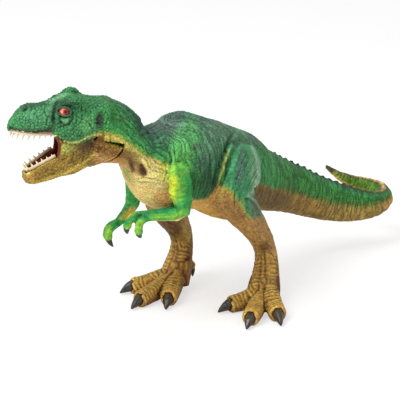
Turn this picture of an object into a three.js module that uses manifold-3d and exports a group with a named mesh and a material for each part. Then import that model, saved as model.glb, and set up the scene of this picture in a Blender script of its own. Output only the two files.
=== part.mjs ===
// Toy dinosaur figure: a two-legged hunter in painted soft plastic, standing on both feet with its
// mouth open. The body, head, tail and limbs are moulded apart and bonded at keyed plugs, the claws,
// eyes and teeth are inserts, and the lower jaw swings on a pin between the cheeks.
// Units are millimetres and +Z is up. +X runs towards the snout and +Y to the animal's left. The
// origin lies on the floor under the middle of the figure's box.

import * as THREE from 'three';
import { mergeVertices } from 'three/addons/utils/BufferGeometryUtils.js';
import Module from 'manifold-3d';

const wasm = await Module();
wasm.setup();

// Fits
const seatGap = 0.3; // between two bonded pieces
const plugGap = 0.3; // round and behind a plug in its socket
const jawClearance = 0.35; // round the lower jaw as it swings
const pinClearance = 0.3; // round the hinge pin
const cutOverrun = 6; // how far a cutting shape runs past what it cuts
const splitReach = 260; // a splitting block, larger than the figure

// Torso
const hipHeight = 56.7;
const torsoLength = 64;
const torsoSway = 12.8; // how far the shoulders stand to the left of the hips
const torsoDepth = 44;
const torsoWidth = 35.6;

// Neck
const neckLength = 24;
const neckDepth = 25;
const neckWidth = 23;
const neckLift = 16; // how far the neck climbs from the shoulders to the skull

// Tail
const tailReach = 78; // from the hips' rear back to the far side of the curl
const tailRootDepth = 33;
const tailRootWidth = 24;
const tailFall = 24; // how far the tail sinks from its root to the curl
const curlSpan = 23; // across the curl at the tail's end
const scuteHeight = 1;
const scuteLength = 3.6;
const scuteWidth = 2.4;
const scuteSpacing = 4;
const scuteSink = 0.3;

// Head
const headLength = 31;
const headHeight = 18;
const headWidth = 21;
const browHeight = 3.6;
const browLength = 9;
const browWidth = 4.4;
const cheekBulge = 4.8;
const cheekHeight = 11;
const eyeDiameter = 4.6;
const nostrilLength = 2.6;
const lipDepth = 3;
const mouthHeight = 5.8;
const palateThickness = 1.6;

// Lower jaw
const jawLength = 28.7;
const jawWidth = 16;
const knuckleRadius = 10.1;
const throatReach = 15.2; // from the hinge to the throat's arc
const cheekClearRadius = 5.4; // kept clear of the cheeks as the throat swings
const jawFloor = 3.2;
const jawWall = 1.1;
const pinRadius = 1.3;
const pinLength = 17.4;
const tongueLength = 12.5;
const tongueWidth = 5.2;
const tongueHeight = 1.7;

// Teeth
const toothStripWidth = 1;
const toothStripHeight = 1.2;
const upperToothLength = 3.3;
const lowerToothLength = 2.4;
const toothWidth = 1.35;

// Legs
const legDepth = 24;
const legWidth = 16.6;
const footReach = 18.6; // from the middle of the foot to the root of the middle claw
const toeWidth = 7.6;
const toeHeight = 7;
const toeClawLength = 6.4;
const toeClawWidth = 5;
const halluxLength = 7;
const halluxWidth = 4.6;
const halluxClawLength = 4;

// Arms
const armThickness = 9;
const armLength = 36;
const fingerWidth = 3.7;
const fingerClawLength = 3.2;

// Plugs that key the limbs, the tail and the head into the torso
const plugLength = 7;
const plugWidth = 9;
const plugHeight = 12;
const limbPlugWidth = 7;
const armPlugWidth = 4.4;
const armPlugLength = 5;

// Poses
const turn = 2 * Math.PI;
const degrees = turn / 360;
const headYaw = -15 * degrees;
const headPitch = 14 * degrees;
const gapeAngle = 43 * degrees;
const openingAngle = 4 * degrees;
const pelvisYaw = 25 * degrees;
const shoulderYaw = 12 * degrees;

// Facets
const bodySides = 18;
const limbSides = 12;
const toeSides = 8;
const armSides = 10;
const fingerSides = 7;
const clawSides = 6;
const roundSides = 14;
const browSides = 8;
const dimpleSides = 6;
const toothSides = 4;
const scuteSides = 4;
const stripSteps = 12;

const vec = (x, y, z) => new THREE.Vector3(x, y, z);
const upward = vec(0, 0, 1);

// Materials, by the paint that shows on each piece

function paint(color, roughness) {
  return new THREE.MeshStandardMaterial({ color, roughness, metalness: 0 });
}

const skinGreen = paint(0x4a8f5e, 0.6);
const headGreen = paint(0x3d8256, 0.6);
const tailGreen = paint(0x4d7a45, 0.6);
const jawOchre = paint(0x9c8032, 0.6);
const armLime = paint(0x84c83c, 0.6);
const legOchre = paint(0xa67c3c, 0.6);
const clawBlack = paint(0x3a3632, 0.3);
const toothCream = paint(0xf2ead0, 0.4);
const mouthRed = paint(0x7a2c1c, 0.45);
const tongueRed = paint(0xa8453a, 0.4);
const eyeRed = paint(0xe0503f, 0.2);
const pinGrey = paint(0x8c8c88, 0.5);

// Solids

function solidFromArrays(positions, triangles) {
  const a = vec(0, 0, 0);
  const b = vec(0, 0, 0);
  const c = vec(0, 0, 0);
  let volume = 0;
  for (let i = 0; i < triangles.length; i += 3) {
    a.fromArray(positions, 3 * triangles[i]);
    b.fromArray(positions, 3 * triangles[i + 1]);
    c.fromArray(positions, 3 * triangles[i + 2]);
    volume += a.dot(b.cross(c));
  }
  const facing = volume > 0 ? triangles : triangles.slice().reverse();
  const mesh = new wasm.Mesh({
    numProp: 3,
    vertProperties: Float32Array.from(positions),
    triVerts: Uint32Array.from(facing),
  });
  return new wasm.Manifold(mesh);
}

function solidFromGeometry(geometry) {
  geometry.deleteAttribute('normal');
  geometry.deleteAttribute('uv');
  const welded = mergeVertices(geometry);
  return solidFromArrays(Array.from(welded.attributes.position.array), Array.from(welded.index.array));
}

// A frame is a point with three square directions: fore, left and up.
function frameAt(at, yaw, pitch) {
  const left = vec(-Math.sin(yaw), Math.cos(yaw), 0);
  const fore = vec(Math.cos(yaw) * Math.cos(pitch), Math.sin(yaw) * Math.cos(pitch), Math.sin(pitch));
  return { at, fore, left, up: fore.clone().cross(left) };
}

function pointIn(frame, fore, left, up) {
  const point = frame.at.clone().addScaledVector(frame.fore, fore);
  return point.addScaledVector(frame.left, left).addScaledVector(frame.up, up);
}

// A three.js geometry set into a frame, its own x, y and z along fore, left and up.
function setInto(frame, geometry, fore = 0, left = 0, up = 0) {
  const basis = new THREE.Matrix4().makeBasis(frame.fore, frame.left, frame.up);
  basis.setPosition(pointIn(frame, fore, left, up));
  geometry.applyMatrix4(basis);
  return solidFromGeometry(geometry);
}

// Rows of numbers drawn through smoothly, with this many steps between two rows.
function smoothRows(rows, steps) {
  const blend = (a, b, c, d, t) => {
    const slopeIn = (c - a) / 2;
    const slopeOut = (d - b) / 2;
    const cubic = 2 * (b - c) + slopeIn + slopeOut;
    const square = 3 * (c - b) - 2 * slopeIn - slopeOut;
    return ((cubic * t + square) * t + slopeIn) * t + b;
  };
  const result = [];
  for (let i = 0; i < rows.length - 1; i += 1) {
    const before = rows[Math.max(i - 1, 0)];
    const after = rows[Math.min(i + 2, rows.length - 1)];
    for (let k = 0; k < steps; k += 1) {
      result.push(rows[i].map((b, n) => blend(before[n], b, rows[i + 1][n], after[n], k / steps)));
    }
  }
  result.push(rows[rows.length - 1]);
  return result;
}

const rounded = (value, fullness) => Math.sign(value) * Math.abs(value) ** fullness;

// One cross-section round a frame: half width to each side, rise above, drop below, narrowed towards
// the top by the crown share, and squarer the lower its fullness.
function crossSection(frame, size, sides, grow = 0) {
  const { halfWidth, rise, drop, crown = 0, fullness = 1 } = size;
  const points = [];
  for (let i = 0; i < sides; i += 1) {
    const angle = (turn * i) / sides;
    const cosine = rounded(Math.cos(angle), fullness);
    const sine = rounded(Math.sin(angle), fullness);
    const across = cosine * (halfWidth + grow) * (1 - crown * sine);
    const high = sine * ((sine > 0 ? rise : drop) + grow);
    points.push(pointIn(frame, 0, across, high));
  }
  return points;
}

// A closed skin over cross-sections with the same number of points.
function loft(sections) {
  const sides = sections[0].length;
  const positions = [];
  const triangles = [];
  const middle = (points) => points.reduce((sum, p) => sum.add(p), vec(0, 0, 0)).divideScalar(sides);
  for (const section of sections) {
    section.forEach((point) => positions.push(point.x, point.y, point.z));
  }
  for (const end of [sections[0], sections[sections.length - 1]]) {
    positions.push(...middle(end).toArray());
  }
  const firstMiddle = sections.length * sides;
  const lastRing = firstMiddle - sides;
  for (let i = 0; i < sides; i += 1) {
    const next = (i + 1) % sides;
    for (let s = 0; s < sections.length - 1; s += 1) {
      const near = s * sides;
      const far = near + sides;
      triangles.push(near + i, near + next, far + next);
      triangles.push(near + i, far + next, far + i);
    }
    triangles.push(firstMiddle, next, i);
    triangles.push(firstMiddle + 1, lastRing + i, lastRing + next);
  }
  return solidFromArrays(positions, triangles);
}

// Half of space before or behind a frame's plane, as a block larger than the figure.
function blockBefore(frame, offset) {
  const block = new THREE.BoxGeometry(splitReach, splitReach, splitReach);
  return setInto(frame, block, offset + splitReach / 2);
}

function blockBehind(frame, offset) {
  const block = new THREE.BoxGeometry(splitReach, splitReach, splitReach);
  return setInto(frame, block, -offset - splitReach / 2);
}

// Body line: the tail, torso and neck as one run of cross-sections, from the tail's tip to the skull.
// Each row: fore, side, lift, tilt, half width, rise, drop and crown.

// Shares of torso length, sway, depth (lift), a turn (tilt), width, depth, depth, and the crown.
const torsoShares = [
  [-0.25, -0.6, -0.11, 0.012, 0.368, 0.395, 0.42, 0.1],
  [-0.125, -0.32, -0.055, 0.004, 0.4, 0.44, 0.446, 0.12],
  [0, 0, 0, 0, 0.43, 0.48, 0.495, 0.14],
  [0.125, 0.3, 0.09, 0, 0.465, 0.485, 0.505, 0.15],
  [0.25, 0.55, 0.18, 0, 0.495, 0.478, 0.475, 0.15],
  [0.375, 0.745, 0.26, 0, 0.5, 0.476, 0.461, 0.14],
  [0.485, 0.88, 0.295, 0.011, 0.483, 0.443, 0.466, 0.13],
  [0.58, 0.955, 0.31, 0.033, 0.45, 0.392, 0.432, 0.1],
  [0.68, 1, 0.34, 0.05, 0.405, 0.36, 0.34, 0.06],
];

const torsoRows = torsoShares.map(([fore, side, lift, tilt, width, rise, drop, crown]) => [
  fore * torsoLength,
  side * torsoSway,
  hipHeight + lift * torsoDepth,
  tilt * turn,
  width * torsoWidth,
  rise * torsoDepth,
  drop * torsoDepth,
  crown,
]);

// Shares of neck length, torso sway (side), neck lift, a turn, neck width, neck depth, neck depth.
const neckShares = [
  [0.19, 0.005, 0.22, 0.067, 0.57, 0.44, 0.39, 0.05],
  [0.33, 0, 0.53, 0.066, 0.525, 0.48, 0.31, 0.04],
  [0.47, -0.04, 0.75, 0.05, 0.5, 0.505, 0.42, 0.03],
  [0.64, -0.11, 0.93, 0.036, 0.48, 0.5, 0.51, 0.02],
  [0.84, -0.2, 1, 0.026, 0.46, 0.5, 0.6, 0],
  [1, -0.28, 1.06, 0.022, 0.43, 0.43, 0.62, 0],
];

const neckRoot = torsoRows[torsoRows.length - 1];
const neckRows = neckShares.map(([fore, side, lift, tilt, width, rise, drop, crown]) => [
  neckRoot[0] + fore * neckLength,
  neckRoot[1] + side * torsoSway,
  neckRoot[2] + lift * neckLift,
  tilt * turn,
  width * neckWidth,
  rise * neckDepth,
  drop * neckDepth,
  crown,
]);

// Shares of tail reach (fore), curl span (side), tail fall (lift), a turn, root width and depth.
const tailShares = [
  [-0.12, -0.15, -0.17, 0.03, 0.49, 0.38, 0.5, 0.14],
  [-0.26, -0.28, -0.36, 0.045, 0.44, 0.297, 0.46, 0.18],
  [-0.4, -0.33, -0.56, 0.055, 0.39, 0.264, 0.425, 0.2],
  [-0.56, -0.32, -0.84, 0.055, 0.345, 0.242, 0.37, 0.22],
  [-0.72, -0.24, -1.07, 0.04, 0.3, 0.24, 0.31, 0.22],
  [-0.85, -0.14, -1.17, 0.015, 0.258, 0.195, 0.25, 0.2],
  [-0.955, -0.12, -1.19, 0, 0.22, 0.16, 0.206, 0.18],
  [-1.035, -0.235, -1.17, -0.012, 0.195, 0.135, 0.17, 0.16],
  [-1.075, -0.52, -1.125, -0.04, 0.175, 0.12, 0.148, 0.14],
  [-1.045, -0.8, -1.08, -0.055, 0.154, 0.105, 0.127, 0.12],
  [-0.97, -0.96, -1.02, -0.06, 0.125, 0.09, 0.103, 0.1],
  [-0.875, -1.04, -0.87, -0.07, 0.088, 0.068, 0.073, 0.06],
  [-0.78, -1.1, -0.63, -0.075, 0.036, 0.03, 0.03, 0],
];

const tailRoot = torsoRows[0];
const tailRows = tailShares.map(([fore, side, lift, tilt, width, rise, drop, crown]) => [
  tailRoot[0] + fore * tailReach,
  tailRoot[1] + side * curlSpan,
  tailRoot[2] + lift * tailFall,
  tilt * turn,
  width * tailRootWidth,
  rise * tailRootDepth,
  drop * tailRootDepth,
  crown,
]);

const bodySteps = 2;
const bodyRows = [...tailRows.slice().reverse(), ...torsoRows, ...neckRows];
const bodyLine = smoothRows(bodyRows, bodySteps);

function bodyFrame(index) {
  const behind = bodyLine[Math.max(index - 1, 0)];
  const before = bodyLine[Math.min(index + 1, bodyLine.length - 1)];
  const [x, y, z, tilt] = bodyLine[index];
  return frameAt(vec(x, y, z), Math.atan2(before[1] - behind[1], before[0] - behind[0]), tilt);
}

function bodySkin(grow) {
  const sections = bodyLine.map((row, index) => {
    const size = { halfWidth: row[4], rise: row[5], drop: row[6], crown: row[7] };
    return crossSection(bodyFrame(index), size, bodySides, grow);
  });
  return loft(sections);
}

const wholeBody = bodySkin(0);
const wholeBodyGrown = bodySkin(seatGap);

// Seams: the tail leaves the torso behind the hips, the neck before the shoulders.
const tailSeamIndex = (tailRows.length - 1) * bodySteps;
const neckSeamIndex = (tailRows.length + torsoRows.length) * bodySteps;
const tailSeam = bodyFrame(tailSeamIndex);
const neckSeam = bodyFrame(neckSeamIndex);
const halfSeat = seatGap / 2;

const plugEndShare = 0.8;
const plugFullnessShare = 0.6;

// A plug along a frame's fore axis, squared so that the piece can't turn in its socket.
function plug(frame, length, width, height, grow) {
  const rootSize = {
    halfWidth: width / 2,
    rise: height / 2,
    drop: height / 2,
    fullness: plugFullnessShare,
  };
  const endSize = {
    halfWidth: rootSize.halfWidth * plugEndShare,
    rise: rootSize.rise * plugEndShare,
    drop: rootSize.drop * plugEndShare,
    fullness: rootSize.fullness,
  };
  const root = { ...frame, at: pointIn(frame, -length / 4, 0, 0) };
  const end = { ...frame, at: pointIn(frame, length + grow, 0, 0) };
  return loft([
    crossSection(root, rootSize, limbSides, grow),
    crossSection(end, endSize, limbSides, grow),
  ]);
}

const backwards = (frame) => ({
  ...frame,
  fore: frame.fore.clone().negate(),
  left: frame.left.clone().negate(),
});

const neckPlugFrame = backwards(neckSeam);
const tailPlugFrame = tailSeam;
const neckPlug = (grow) => plug(neckPlugFrame, plugLength, plugWidth, plugHeight, grow);
const tailPlug = (grow) => plug(tailPlugFrame, plugLength, plugWidth, plugHeight, grow);

// Tail: its length of the body, the plug into the hips, and a ridge of scutes along the top
const scuteTopShare = 0.3;
const scuteLeastShare = 0.28;
const scuteGrowthShare = 2.4;

function scuteRidge() {
  const line = new THREE.CatmullRomCurve3(
    bodyLine.slice(0, tailSeamIndex + 1).map((row, index) => {
      const frame = bodyFrame(index);
      return pointIn(frame, 0, 0, row[5] - scuteSink);
    }),
  );
  const sizes = smoothRows(tailRows.slice().reverse(), bodySteps);
  const length = line.getLength();
  const count = Math.floor(length / scuteSpacing) - 1;
  const scutes = [];
  for (let i = 1; i < count; i += 1) {
    const share = (i * scuteSpacing) / length;
    const at = line.getPointAt(share);
    const along = line.getTangentAt(share);
    const across = upward.clone().cross(along).normalize();
    const lift = along.clone().cross(across);
    const girth = sizes[Math.round(line.getUtoTmapping(share) * (sizes.length - 1))][5];
    const size = Math.min(1, scuteLeastShare + (scuteGrowthShare * girth) / tailRootDepth);
    const frame = { at, fore: along, left: across, up: lift };
    const topRadius = scuteTopShare * scuteLength;
    const knob = new THREE.CylinderGeometry(topRadius, scuteLength / 2, 2 * scuteHeight, scuteSides);
    knob.rotateX(turn / 4);
    knob.scale(size, (size * scuteWidth) / scuteLength, size);
    scutes.push(setInto(frame, knob));
  }
  return scutes;
}

let tail = wholeBody.intersect(blockBehind(tailSeam, halfSeat));
tail = tail.add(tailPlug(0));
for (const scute of scuteRidge()) {
  tail = tail.add(scute);
}

// Head: a skull in its own frame, joined to the neck
const neckEnd = neckRows[neckRows.length - 2];
const skullSeatShares = [0.14, -0.05, -0.13];
const skullOrigin = vec(
  neckEnd[0] + skullSeatShares[0] * headLength,
  neckEnd[1] + skullSeatShares[1] * headWidth,
  neckEnd[2] + skullSeatShares[2] * headHeight,
);
const skull = frameAt(skullOrigin, headYaw, headPitch);

// Each row: fore, centre height, half width, rise, drop, and the fullness of the section.
// Shares of head length, height, width, height and height.
const skullShares = [
  [-0.29, 0.44, 0.4, 0.42, 0.38, 0.9],
  [-0.16, 0.43, 0.46, 0.49, 0.44, 0.88],
  [-0.03, 0.38, 0.5, 0.475, 0.45, 0.86],
  [0.1, 0.34, 0.5, 0.515, 0.46, 0.85],
  [0.225, 0.33, 0.49, 0.51, 0.48, 0.85],
  [0.325, 0.33, 0.44, 0.495, 0.46, 0.85],
  [0.42, 0.33, 0.385, 0.42, 0.38, 0.84],
  [0.52, 0.29, 0.35, 0.335, 0.36, 0.82],
  [0.65, 0.235, 0.325, 0.29, 0.385, 0.8],
  [0.775, 0.195, 0.285, 0.28, 0.363, 0.8],
  [0.86, 0.14, 0.225, 0.235, 0.313, 0.82],
  [0.92, 0.055, 0.15, 0.14, 0.227, 0.86],
  [0.96, -0.044, 0.085, 0.06, 0.111, 0.9],
];

const skullSteps = 2;
const skullRows = smoothRows(
  skullShares.map(([fore, height, width, rise, drop, fullness]) => [
    fore * headLength,
    height * headHeight,
    width * headWidth,
    rise * headHeight,
    drop * headHeight,
    fullness,
  ]),
  skullSteps,
);

const skullSkin = loft(
  skullRows.map(([fore, height, halfWidth, rise, drop, fullness]) => {
    const frame = { ...skull, at: pointIn(skull, fore, 0, height) };
    return crossSection(frame, { halfWidth, rise, drop, fullness }, bodySides);
  }),
);

// Brow: a crest over each eye that rises steeply to a knob and falls away behind it.
// Each row: fore as a share of brow length, lift of brow height, and girth.
const browPlaceShares = [0.262, 0.32, 0.76];
const browSpreadShare = 0.25;
const browShares = [
  [-0.85, -0.6, 0.12],
  [-0.55, -0.1, 0.34],
  [-0.25, 0.24, 0.45],
  [0, 0.3, 0.47],
  [0.2, -0.02, 0.42],
  [0.42, -0.5, 0.35],
  [0.85, -0.95, 0.14],
];

function brow(side) {
  return loft(
    browShares.map(([foreShare, liftShare, girthShare]) => {
      const at = pointIn(
        skull,
        browPlaceShares[0] * headLength + foreShare * browLength,
        side * (browPlaceShares[1] * headWidth - browSpreadShare * foreShare * browWidth),
        browPlaceShares[2] * headHeight + liftShare * browHeight,
      );
      const size = { halfWidth: girthShare * browWidth, rise: girthShare * browHeight, drop: browHeight };
      return crossSection({ ...skull, at }, size, browSides);
    }),
  );
}

// Cheek: a muscle on each side that hangs over the jaw's joint, down to the parting line.
// Each row: its middle as shares of head length (fore), cheek bulge (out from the pin's end) and
// head height, then half width, rise and drop as shares of cheek bulge, height and height.
const cheekFullnessShare = 0.85;
const cheekShares = [
  [-0.13, -0.215, 0.39, 0.21, 0.18, 0.23],
  [-0.05, -0.18, 0.39, 0.42, 0.33, 0.46],
  [0.048, -0.14, 0.333, 0.53, 0.455, 0.61],
  [0.145, -0.14, 0.278, 0.54, 0.5, 0.61],
  [0.258, -0.19, 0.222, 0.5, 0.455, 0.56],
  [0.355, -0.325, 0.183, 0.42, 0.33, 0.46],
  [0.426, -0.43, 0.144, 0.23, 0.18, 0.3],
];

function cheek(side) {
  return loft(
    cheekShares.map(([fore, out, up, widthShare, riseShare, dropShare]) => {
      const outward = pinLength / 2 + out * cheekBulge;
      const at = pointIn(skull, fore * headLength, side * outward, up * headHeight);
      const size = {
        halfWidth: widthShare * cheekBulge,
        rise: riseShare * cheekHeight,
        drop: dropShare * cheekHeight,
        fullness: cheekFullnessShare,
      };
      return crossSection({ ...skull, at }, size, armSides);
    }),
  );
}

// Eye and its socket
const eyePlaceShares = [0.36, 0.335, 0.54];

function eyeball(side, grow) {
  const ball = new THREE.SphereGeometry(eyeDiameter / 2 + grow, browSides, dimpleSides);
  const [fore, left, up] = eyePlaceShares;
  return setInto(skull, ball, fore * headLength, side * left * headWidth, up * headHeight);
}

// Nostril: a slanted dimple high on the snout
const nostrilPlaceShares = [0.86, 0.22, 0.37];
const nostrilTilt = 30 * degrees;

function nostril(side) {
  const dimple = new THREE.SphereGeometry(nostrilLength / 2, dimpleSides, scuteSides);
  dimple.scale(1, 1 / 2, 1 / 2);
  dimple.rotateY(-nostrilTilt);
  const [fore, left, up] = nostrilPlaceShares;
  return setInto(skull, dimple, fore * headLength, side * left * headWidth, up * headHeight);
}

// Furrow: the upright hollow before the eye
const furrowPlaceShares = [0.49, 0.39, 0.37];
const furrowSizeShares = [0.045, 0.05, 0.2];
const furrowLean = 12 * degrees;

function furrow(side) {
  const hollow = new THREE.SphereGeometry(1, dimpleSides, dimpleSides);
  const [alongShare, acrossShare, highShare] = furrowSizeShares;
  hollow.scale(alongShare * headLength, acrossShare * headWidth, highShare * headHeight);
  hollow.rotateY(furrowLean);
  const [fore, left, up] = furrowPlaceShares;
  return setInto(skull, hollow, fore * headLength, side * left * headWidth, up * headHeight);
}

// Mouth: a hollow under the snout between the lips, open to the front of the jaw's knuckle.
// Each row: fore and half width to the lips' inner faces, the height of its roof, and how far the
// lip rises above its lowest. Shares of head length, head width, mouth height and lip depth.
const mouthShares = [
  [0.2, 0.34, 1, 0.8],
  [0.41, 0.27, 1, 0.72],
  [0.58, 0.25, 0.84, 0.35],
  [0.74, 0.232, 0.72, 0.04],
  [0.855, 0.18, 0.6, 0],
  [0.925, 0.1, 0.5, 0],
];

// Four corners round a frame, for hollows with upright walls.
function squareSection(frame, halfWidth, bottom, top) {
  return [
    pointIn(frame, 0, halfWidth, bottom),
    pointIn(frame, 0, halfWidth, top),
    pointIn(frame, 0, -halfWidth, top),
    pointIn(frame, 0, -halfWidth, bottom),
  ];
}

// A block of the mouth's plan, drawn in on every side by inset and grown at the front by it too,
// between two heights worked out from the roof and the lip at each row.
function mouthBlock(inset, topAt, bottomAt) {
  return loft(
    mouthShares.map(([foreShare, widthShare, roofShare, riseShare]) => {
      const place = { roof: roofShare * mouthHeight - lipDepth, lip: riseShare * lipDepth };
      const frame = { ...skull, at: pointIn(skull, foreShare * headLength - inset, 0, 0) };
      return squareSection(frame, widthShare * headWidth - inset, bottomAt(place), topAt(place));
    }),
  );
}

const mouthBottom = () => -lipDepth - cutOverrun;
const mouthHollow = mouthBlock(0, ({ roof }) => roof, mouthBottom);

// Hinge: the jaw's axis crosses the head behind the corners of the mouth
const hingePlaceShares = [0.065, 0.122];
const hinge = {
  ...skull,
  at: pointIn(skull, hingePlaceShares[0] * headLength, 0, hingePlaceShares[1] * headHeight),
};

// A frame turned about its own left axis, nose down for a positive angle.
function nosedDown(frame, angle) {
  const spin = new THREE.Quaternion().setFromAxisAngle(frame.left, angle);
  const fore = frame.fore.clone().applyQuaternion(spin);
  const up = frame.up.clone().applyQuaternion(spin);
  return { ...frame, fore, up };
}

const jawFrame = nosedDown(hinge, gapeAngle);

function pin(grow) {
  const radius = pinRadius + grow;
  const rod = new THREE.CylinderGeometry(radius, radius, pinLength + 2 * grow, limbSides);
  return setInto(hinge, rod);
}

// The knuckle's side outline about the hinge: an arc from under the hinge round behind it, with a
// small boss round the pin. Angles are measured from the fore axis, upwards.
function knuckle(frame, radius, bossRadius, halfWidth, fromAngle, toAngle) {
  const outline = new THREE.Shape();
  outline.moveTo(0, 0);
  outline.absarc(0, 0, radius, fromAngle, toAngle, true);
  outline.closePath();
  const depth = 2 * halfWidth;
  const options = { depth, bevelEnabled: false, curveSegments: roundSides };
  const sector = new THREE.ExtrudeGeometry(outline, options);
  sector.rotateX(turn / 4);
  const boss = new THREE.CylinderGeometry(bossRadius, bossRadius, depth, roundSides);
  return setInto(frame, sector, 0, halfWidth).add(setInto(frame, boss));
}

// Lower jaw. Each row: fore, top, bottom and half width, as shares of jaw length, knuckle radius
// (top and bottom) and jaw width. The high rows behind the mouth are the cheek skin of the jaw.
const jawFullnessShare = 0.62;
const jawShares = [
  [0, 0.2, -1.2, 0.5],
  [0.1, 0.33, -1.3, 0.5],
  [0.22, 0.42, -1.33, 0.5],
  [0.31, 0.46, -1.31, 0.49],
  [0.375, 0.16, -1.28, 0.475],
  [0.43, -0.09, -1.23, 0.46],
  [0.55, -0.1, -1.1, 0.41],
  [0.69, -0.1, -0.99, 0.36],
  [0.82, -0.115, -0.9, 0.325],
  [0.91, -0.15, -0.83, 0.28],
  [0.965, -0.23, -0.73, 0.215],
  [1, -0.38, -0.58, 0.11],
];

function jawOutside(frame, grow) {
  return loft(
    jawShares.map(([foreShare, topShare, bottomShare, widthShare], index) => {
      const overrun = index === jawShares.length - 1 ? grow : 0;
      const middle = ((topShare + bottomShare) * knuckleRadius) / 2;
      const half = ((topShare - bottomShare) * knuckleRadius) / 2;
      const at = pointIn(frame, foreShare * jawLength + overrun, 0, middle);
      const size = { halfWidth: widthShare * jawWidth, rise: half, drop: half, fullness: jawFullnessShare };
      return crossSection({ ...frame, at }, size, roundSides, grow);
    }),
  );
}

// A hollow between the sides of the jaw, from the knuckle to the chin, with this much wall left.
const jawHollowShares = [0.345, 0.39, 0.45, 0.57, 0.7, 0.81, 0.88, 0.93];

function jawHollow(wall, floorHeight) {
  const rows = smoothRows(jawShares, 2);
  const halfWidthAt = (share) => {
    const after = rows.findIndex((row) => row[0] >= share);
    return rows[after][3] * jawWidth;
  };
  return loft(
    jawHollowShares.map((share) => {
      const frame = { ...jawFrame, at: pointIn(jawFrame, share * jawLength, 0, 0) };
      return squareSection(frame, halfWidthAt(share) - wall, floorHeight, knuckleRadius + cutOverrun);
    }),
  );
}

// Teeth: a gum strip along a horseshoe line with a row of pointed teeth on it
const stripFullnessShare = 0.5;
const toothPitchShare = 1.5;
const rearToothShare = 0.45;

function arcade(frame, sideRows, height) {
  const rightSide = sideRows.map(([fore, out, rise = 0]) => pointIn(frame, fore, -out, height + rise));
  const leftSide = sideRows.map(([fore, out, rise = 0]) => pointIn(frame, fore, out, height + rise));
  return new THREE.CatmullRomCurve3([...rightSide, ...leftSide.reverse()]);
}

function toothRow(frame, line, toothLength, pointing) {
  const sections = [];
  for (let i = 0; i <= stripSteps; i += 1) {
    const at = line.getPointAt(i / stripSteps);
    const tangent = line.getTangentAt(i / stripSteps);
    const left = frame.up.clone().cross(tangent).normalize();
    const size = {
      halfWidth: toothStripWidth / 2,
      rise: toothStripHeight / 2,
      drop: toothStripHeight / 2,
      fullness: stripFullnessShare,
    };
    sections.push(crossSection({ at, fore: tangent, left, up: frame.up }, size, clawSides));
  }
  let row = loft(sections);
  const length = line.getLength();
  const count = Math.floor(length / (toothWidth * toothPitchShare));
  for (let i = 0; i < count; i += 1) {
    const share = (i + 0.5) / count;
    const sizeShare = rearToothShare + (1 - rearToothShare) * Math.sin((share * turn) / 2);
    const height = toothLength * sizeShare;
    const cone = new THREE.ConeGeometry((toothWidth / 2) * Math.sqrt(sizeShare), height, toothSides);
    cone.rotateX((pointing * turn) / 4);
    const seated = { ...frame, at: line.getPointAt(share) };
    row = row.add(setInto(seated, cone, 0, 0, pointing * (height / 2 + toothStripHeight / 4)));
  }
  return row;
}

const stripInset = seatGap + toothStripWidth / 2;
const upperStripHeight = -lipDepth + toothStripHeight / 2 + seatGap;
const upperLine = arcade(
  skull,
  mouthShares.slice(1).map(([fore, width, , rise], index, rows) => [
    fore * headLength - (index === rows.length - 1 ? stripInset : 0),
    width * headWidth - stripInset,
    rise * lipDepth,
  ]),
  upperStripHeight,
);
const upperTeeth = toothRow(skull, upperLine, upperToothLength, -1);

const rimShare = 0.115;
const rimHeight = -rimShare * knuckleRadius;
const lowerStripHeight = rimHeight - toothStripHeight / 2;
const lowerStripShares = [
  [0.465, 0.44],
  [0.55, 0.41],
  [0.69, 0.36],
  [0.82, 0.325],
  [0.88, 0.285],
  [0.9, 0.16],
];
const lowerLine = arcade(
  jawFrame,
  lowerStripShares.map(([fore, width]) => [fore * jawLength, width * jawWidth - jawWall - stripInset]),
  lowerStripHeight,
);
const lowerTeeth = toothRow(jawFrame, lowerLine, lowerToothLength, 1);

const recessFloor = lowerStripHeight - toothStripHeight / 2 - seatGap;
const troughFloor = jawFloor - knuckleRadius;
const troughWall = jawWall + toothStripWidth + 2 * seatGap;
const bossShare = 0.42;
const recessStartShare = 0.445;
const bossRadius = bossShare * knuckleRadius;
const knuckleStart = -turn / 5;
const knuckleEnd = -190 * degrees;
let lowerJaw = jawOutside(jawFrame, 0);
const jawKnuckle = knuckle(jawFrame, knuckleRadius, bossRadius, jawWidth / 2, knuckleStart, knuckleEnd);
lowerJaw = lowerJaw.add(jawKnuckle);
lowerJaw = lowerJaw.subtract(jawHollow(troughWall, troughFloor));
const recess = jawHollow(jawWall, recessFloor);
lowerJaw = lowerJaw.subtract(recess.intersect(blockBefore(jawFrame, recessStartShare * jawLength)));

// Tongue: lies along the floor of the jaw
const tongueShares = [
  [0, 0.3, 0.5],
  [0.12, 0.44, 0.9],
  [0.4, 0.5, 1],
  [0.75, 0.42, 0.8],
  [0.93, 0.28, 0.5],
  [1, 0.12, 0.25],
];
const tongueFullnessShare = 0.7;
const tongueRootShare = 0.37;
const tongueRoot = tongueRootShare * jawLength;
const tongue = loft(
  tongueShares.map(([foreShare, widthShare, heightShare]) => {
    const at = pointIn(jawFrame, tongueRoot + foreShare * tongueLength, 0, troughFloor + seatGap);
    const size = {
      halfWidth: widthShare * tongueWidth,
      rise: heightShare * tongueHeight,
      drop: 0,
      fullness: tongueFullnessShare,
    };
    return crossSection({ ...jawFrame, at }, size, limbSides);
  }),
);

// Palate: fills the roof of the mouth above the gum strip, arched between the teeth
const palateFloor = upperStripHeight + toothStripHeight / 2 + seatGap;
const palateBlock = mouthBlock(seatGap, ({ roof }) => roof - seatGap, ({ lip }) => lip + palateFloor);
const palateArch = mouthBlock(
  seatGap + toothStripWidth,
  ({ roof }) => roof - seatGap - palateThickness,
  mouthBottom,
);

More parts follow.
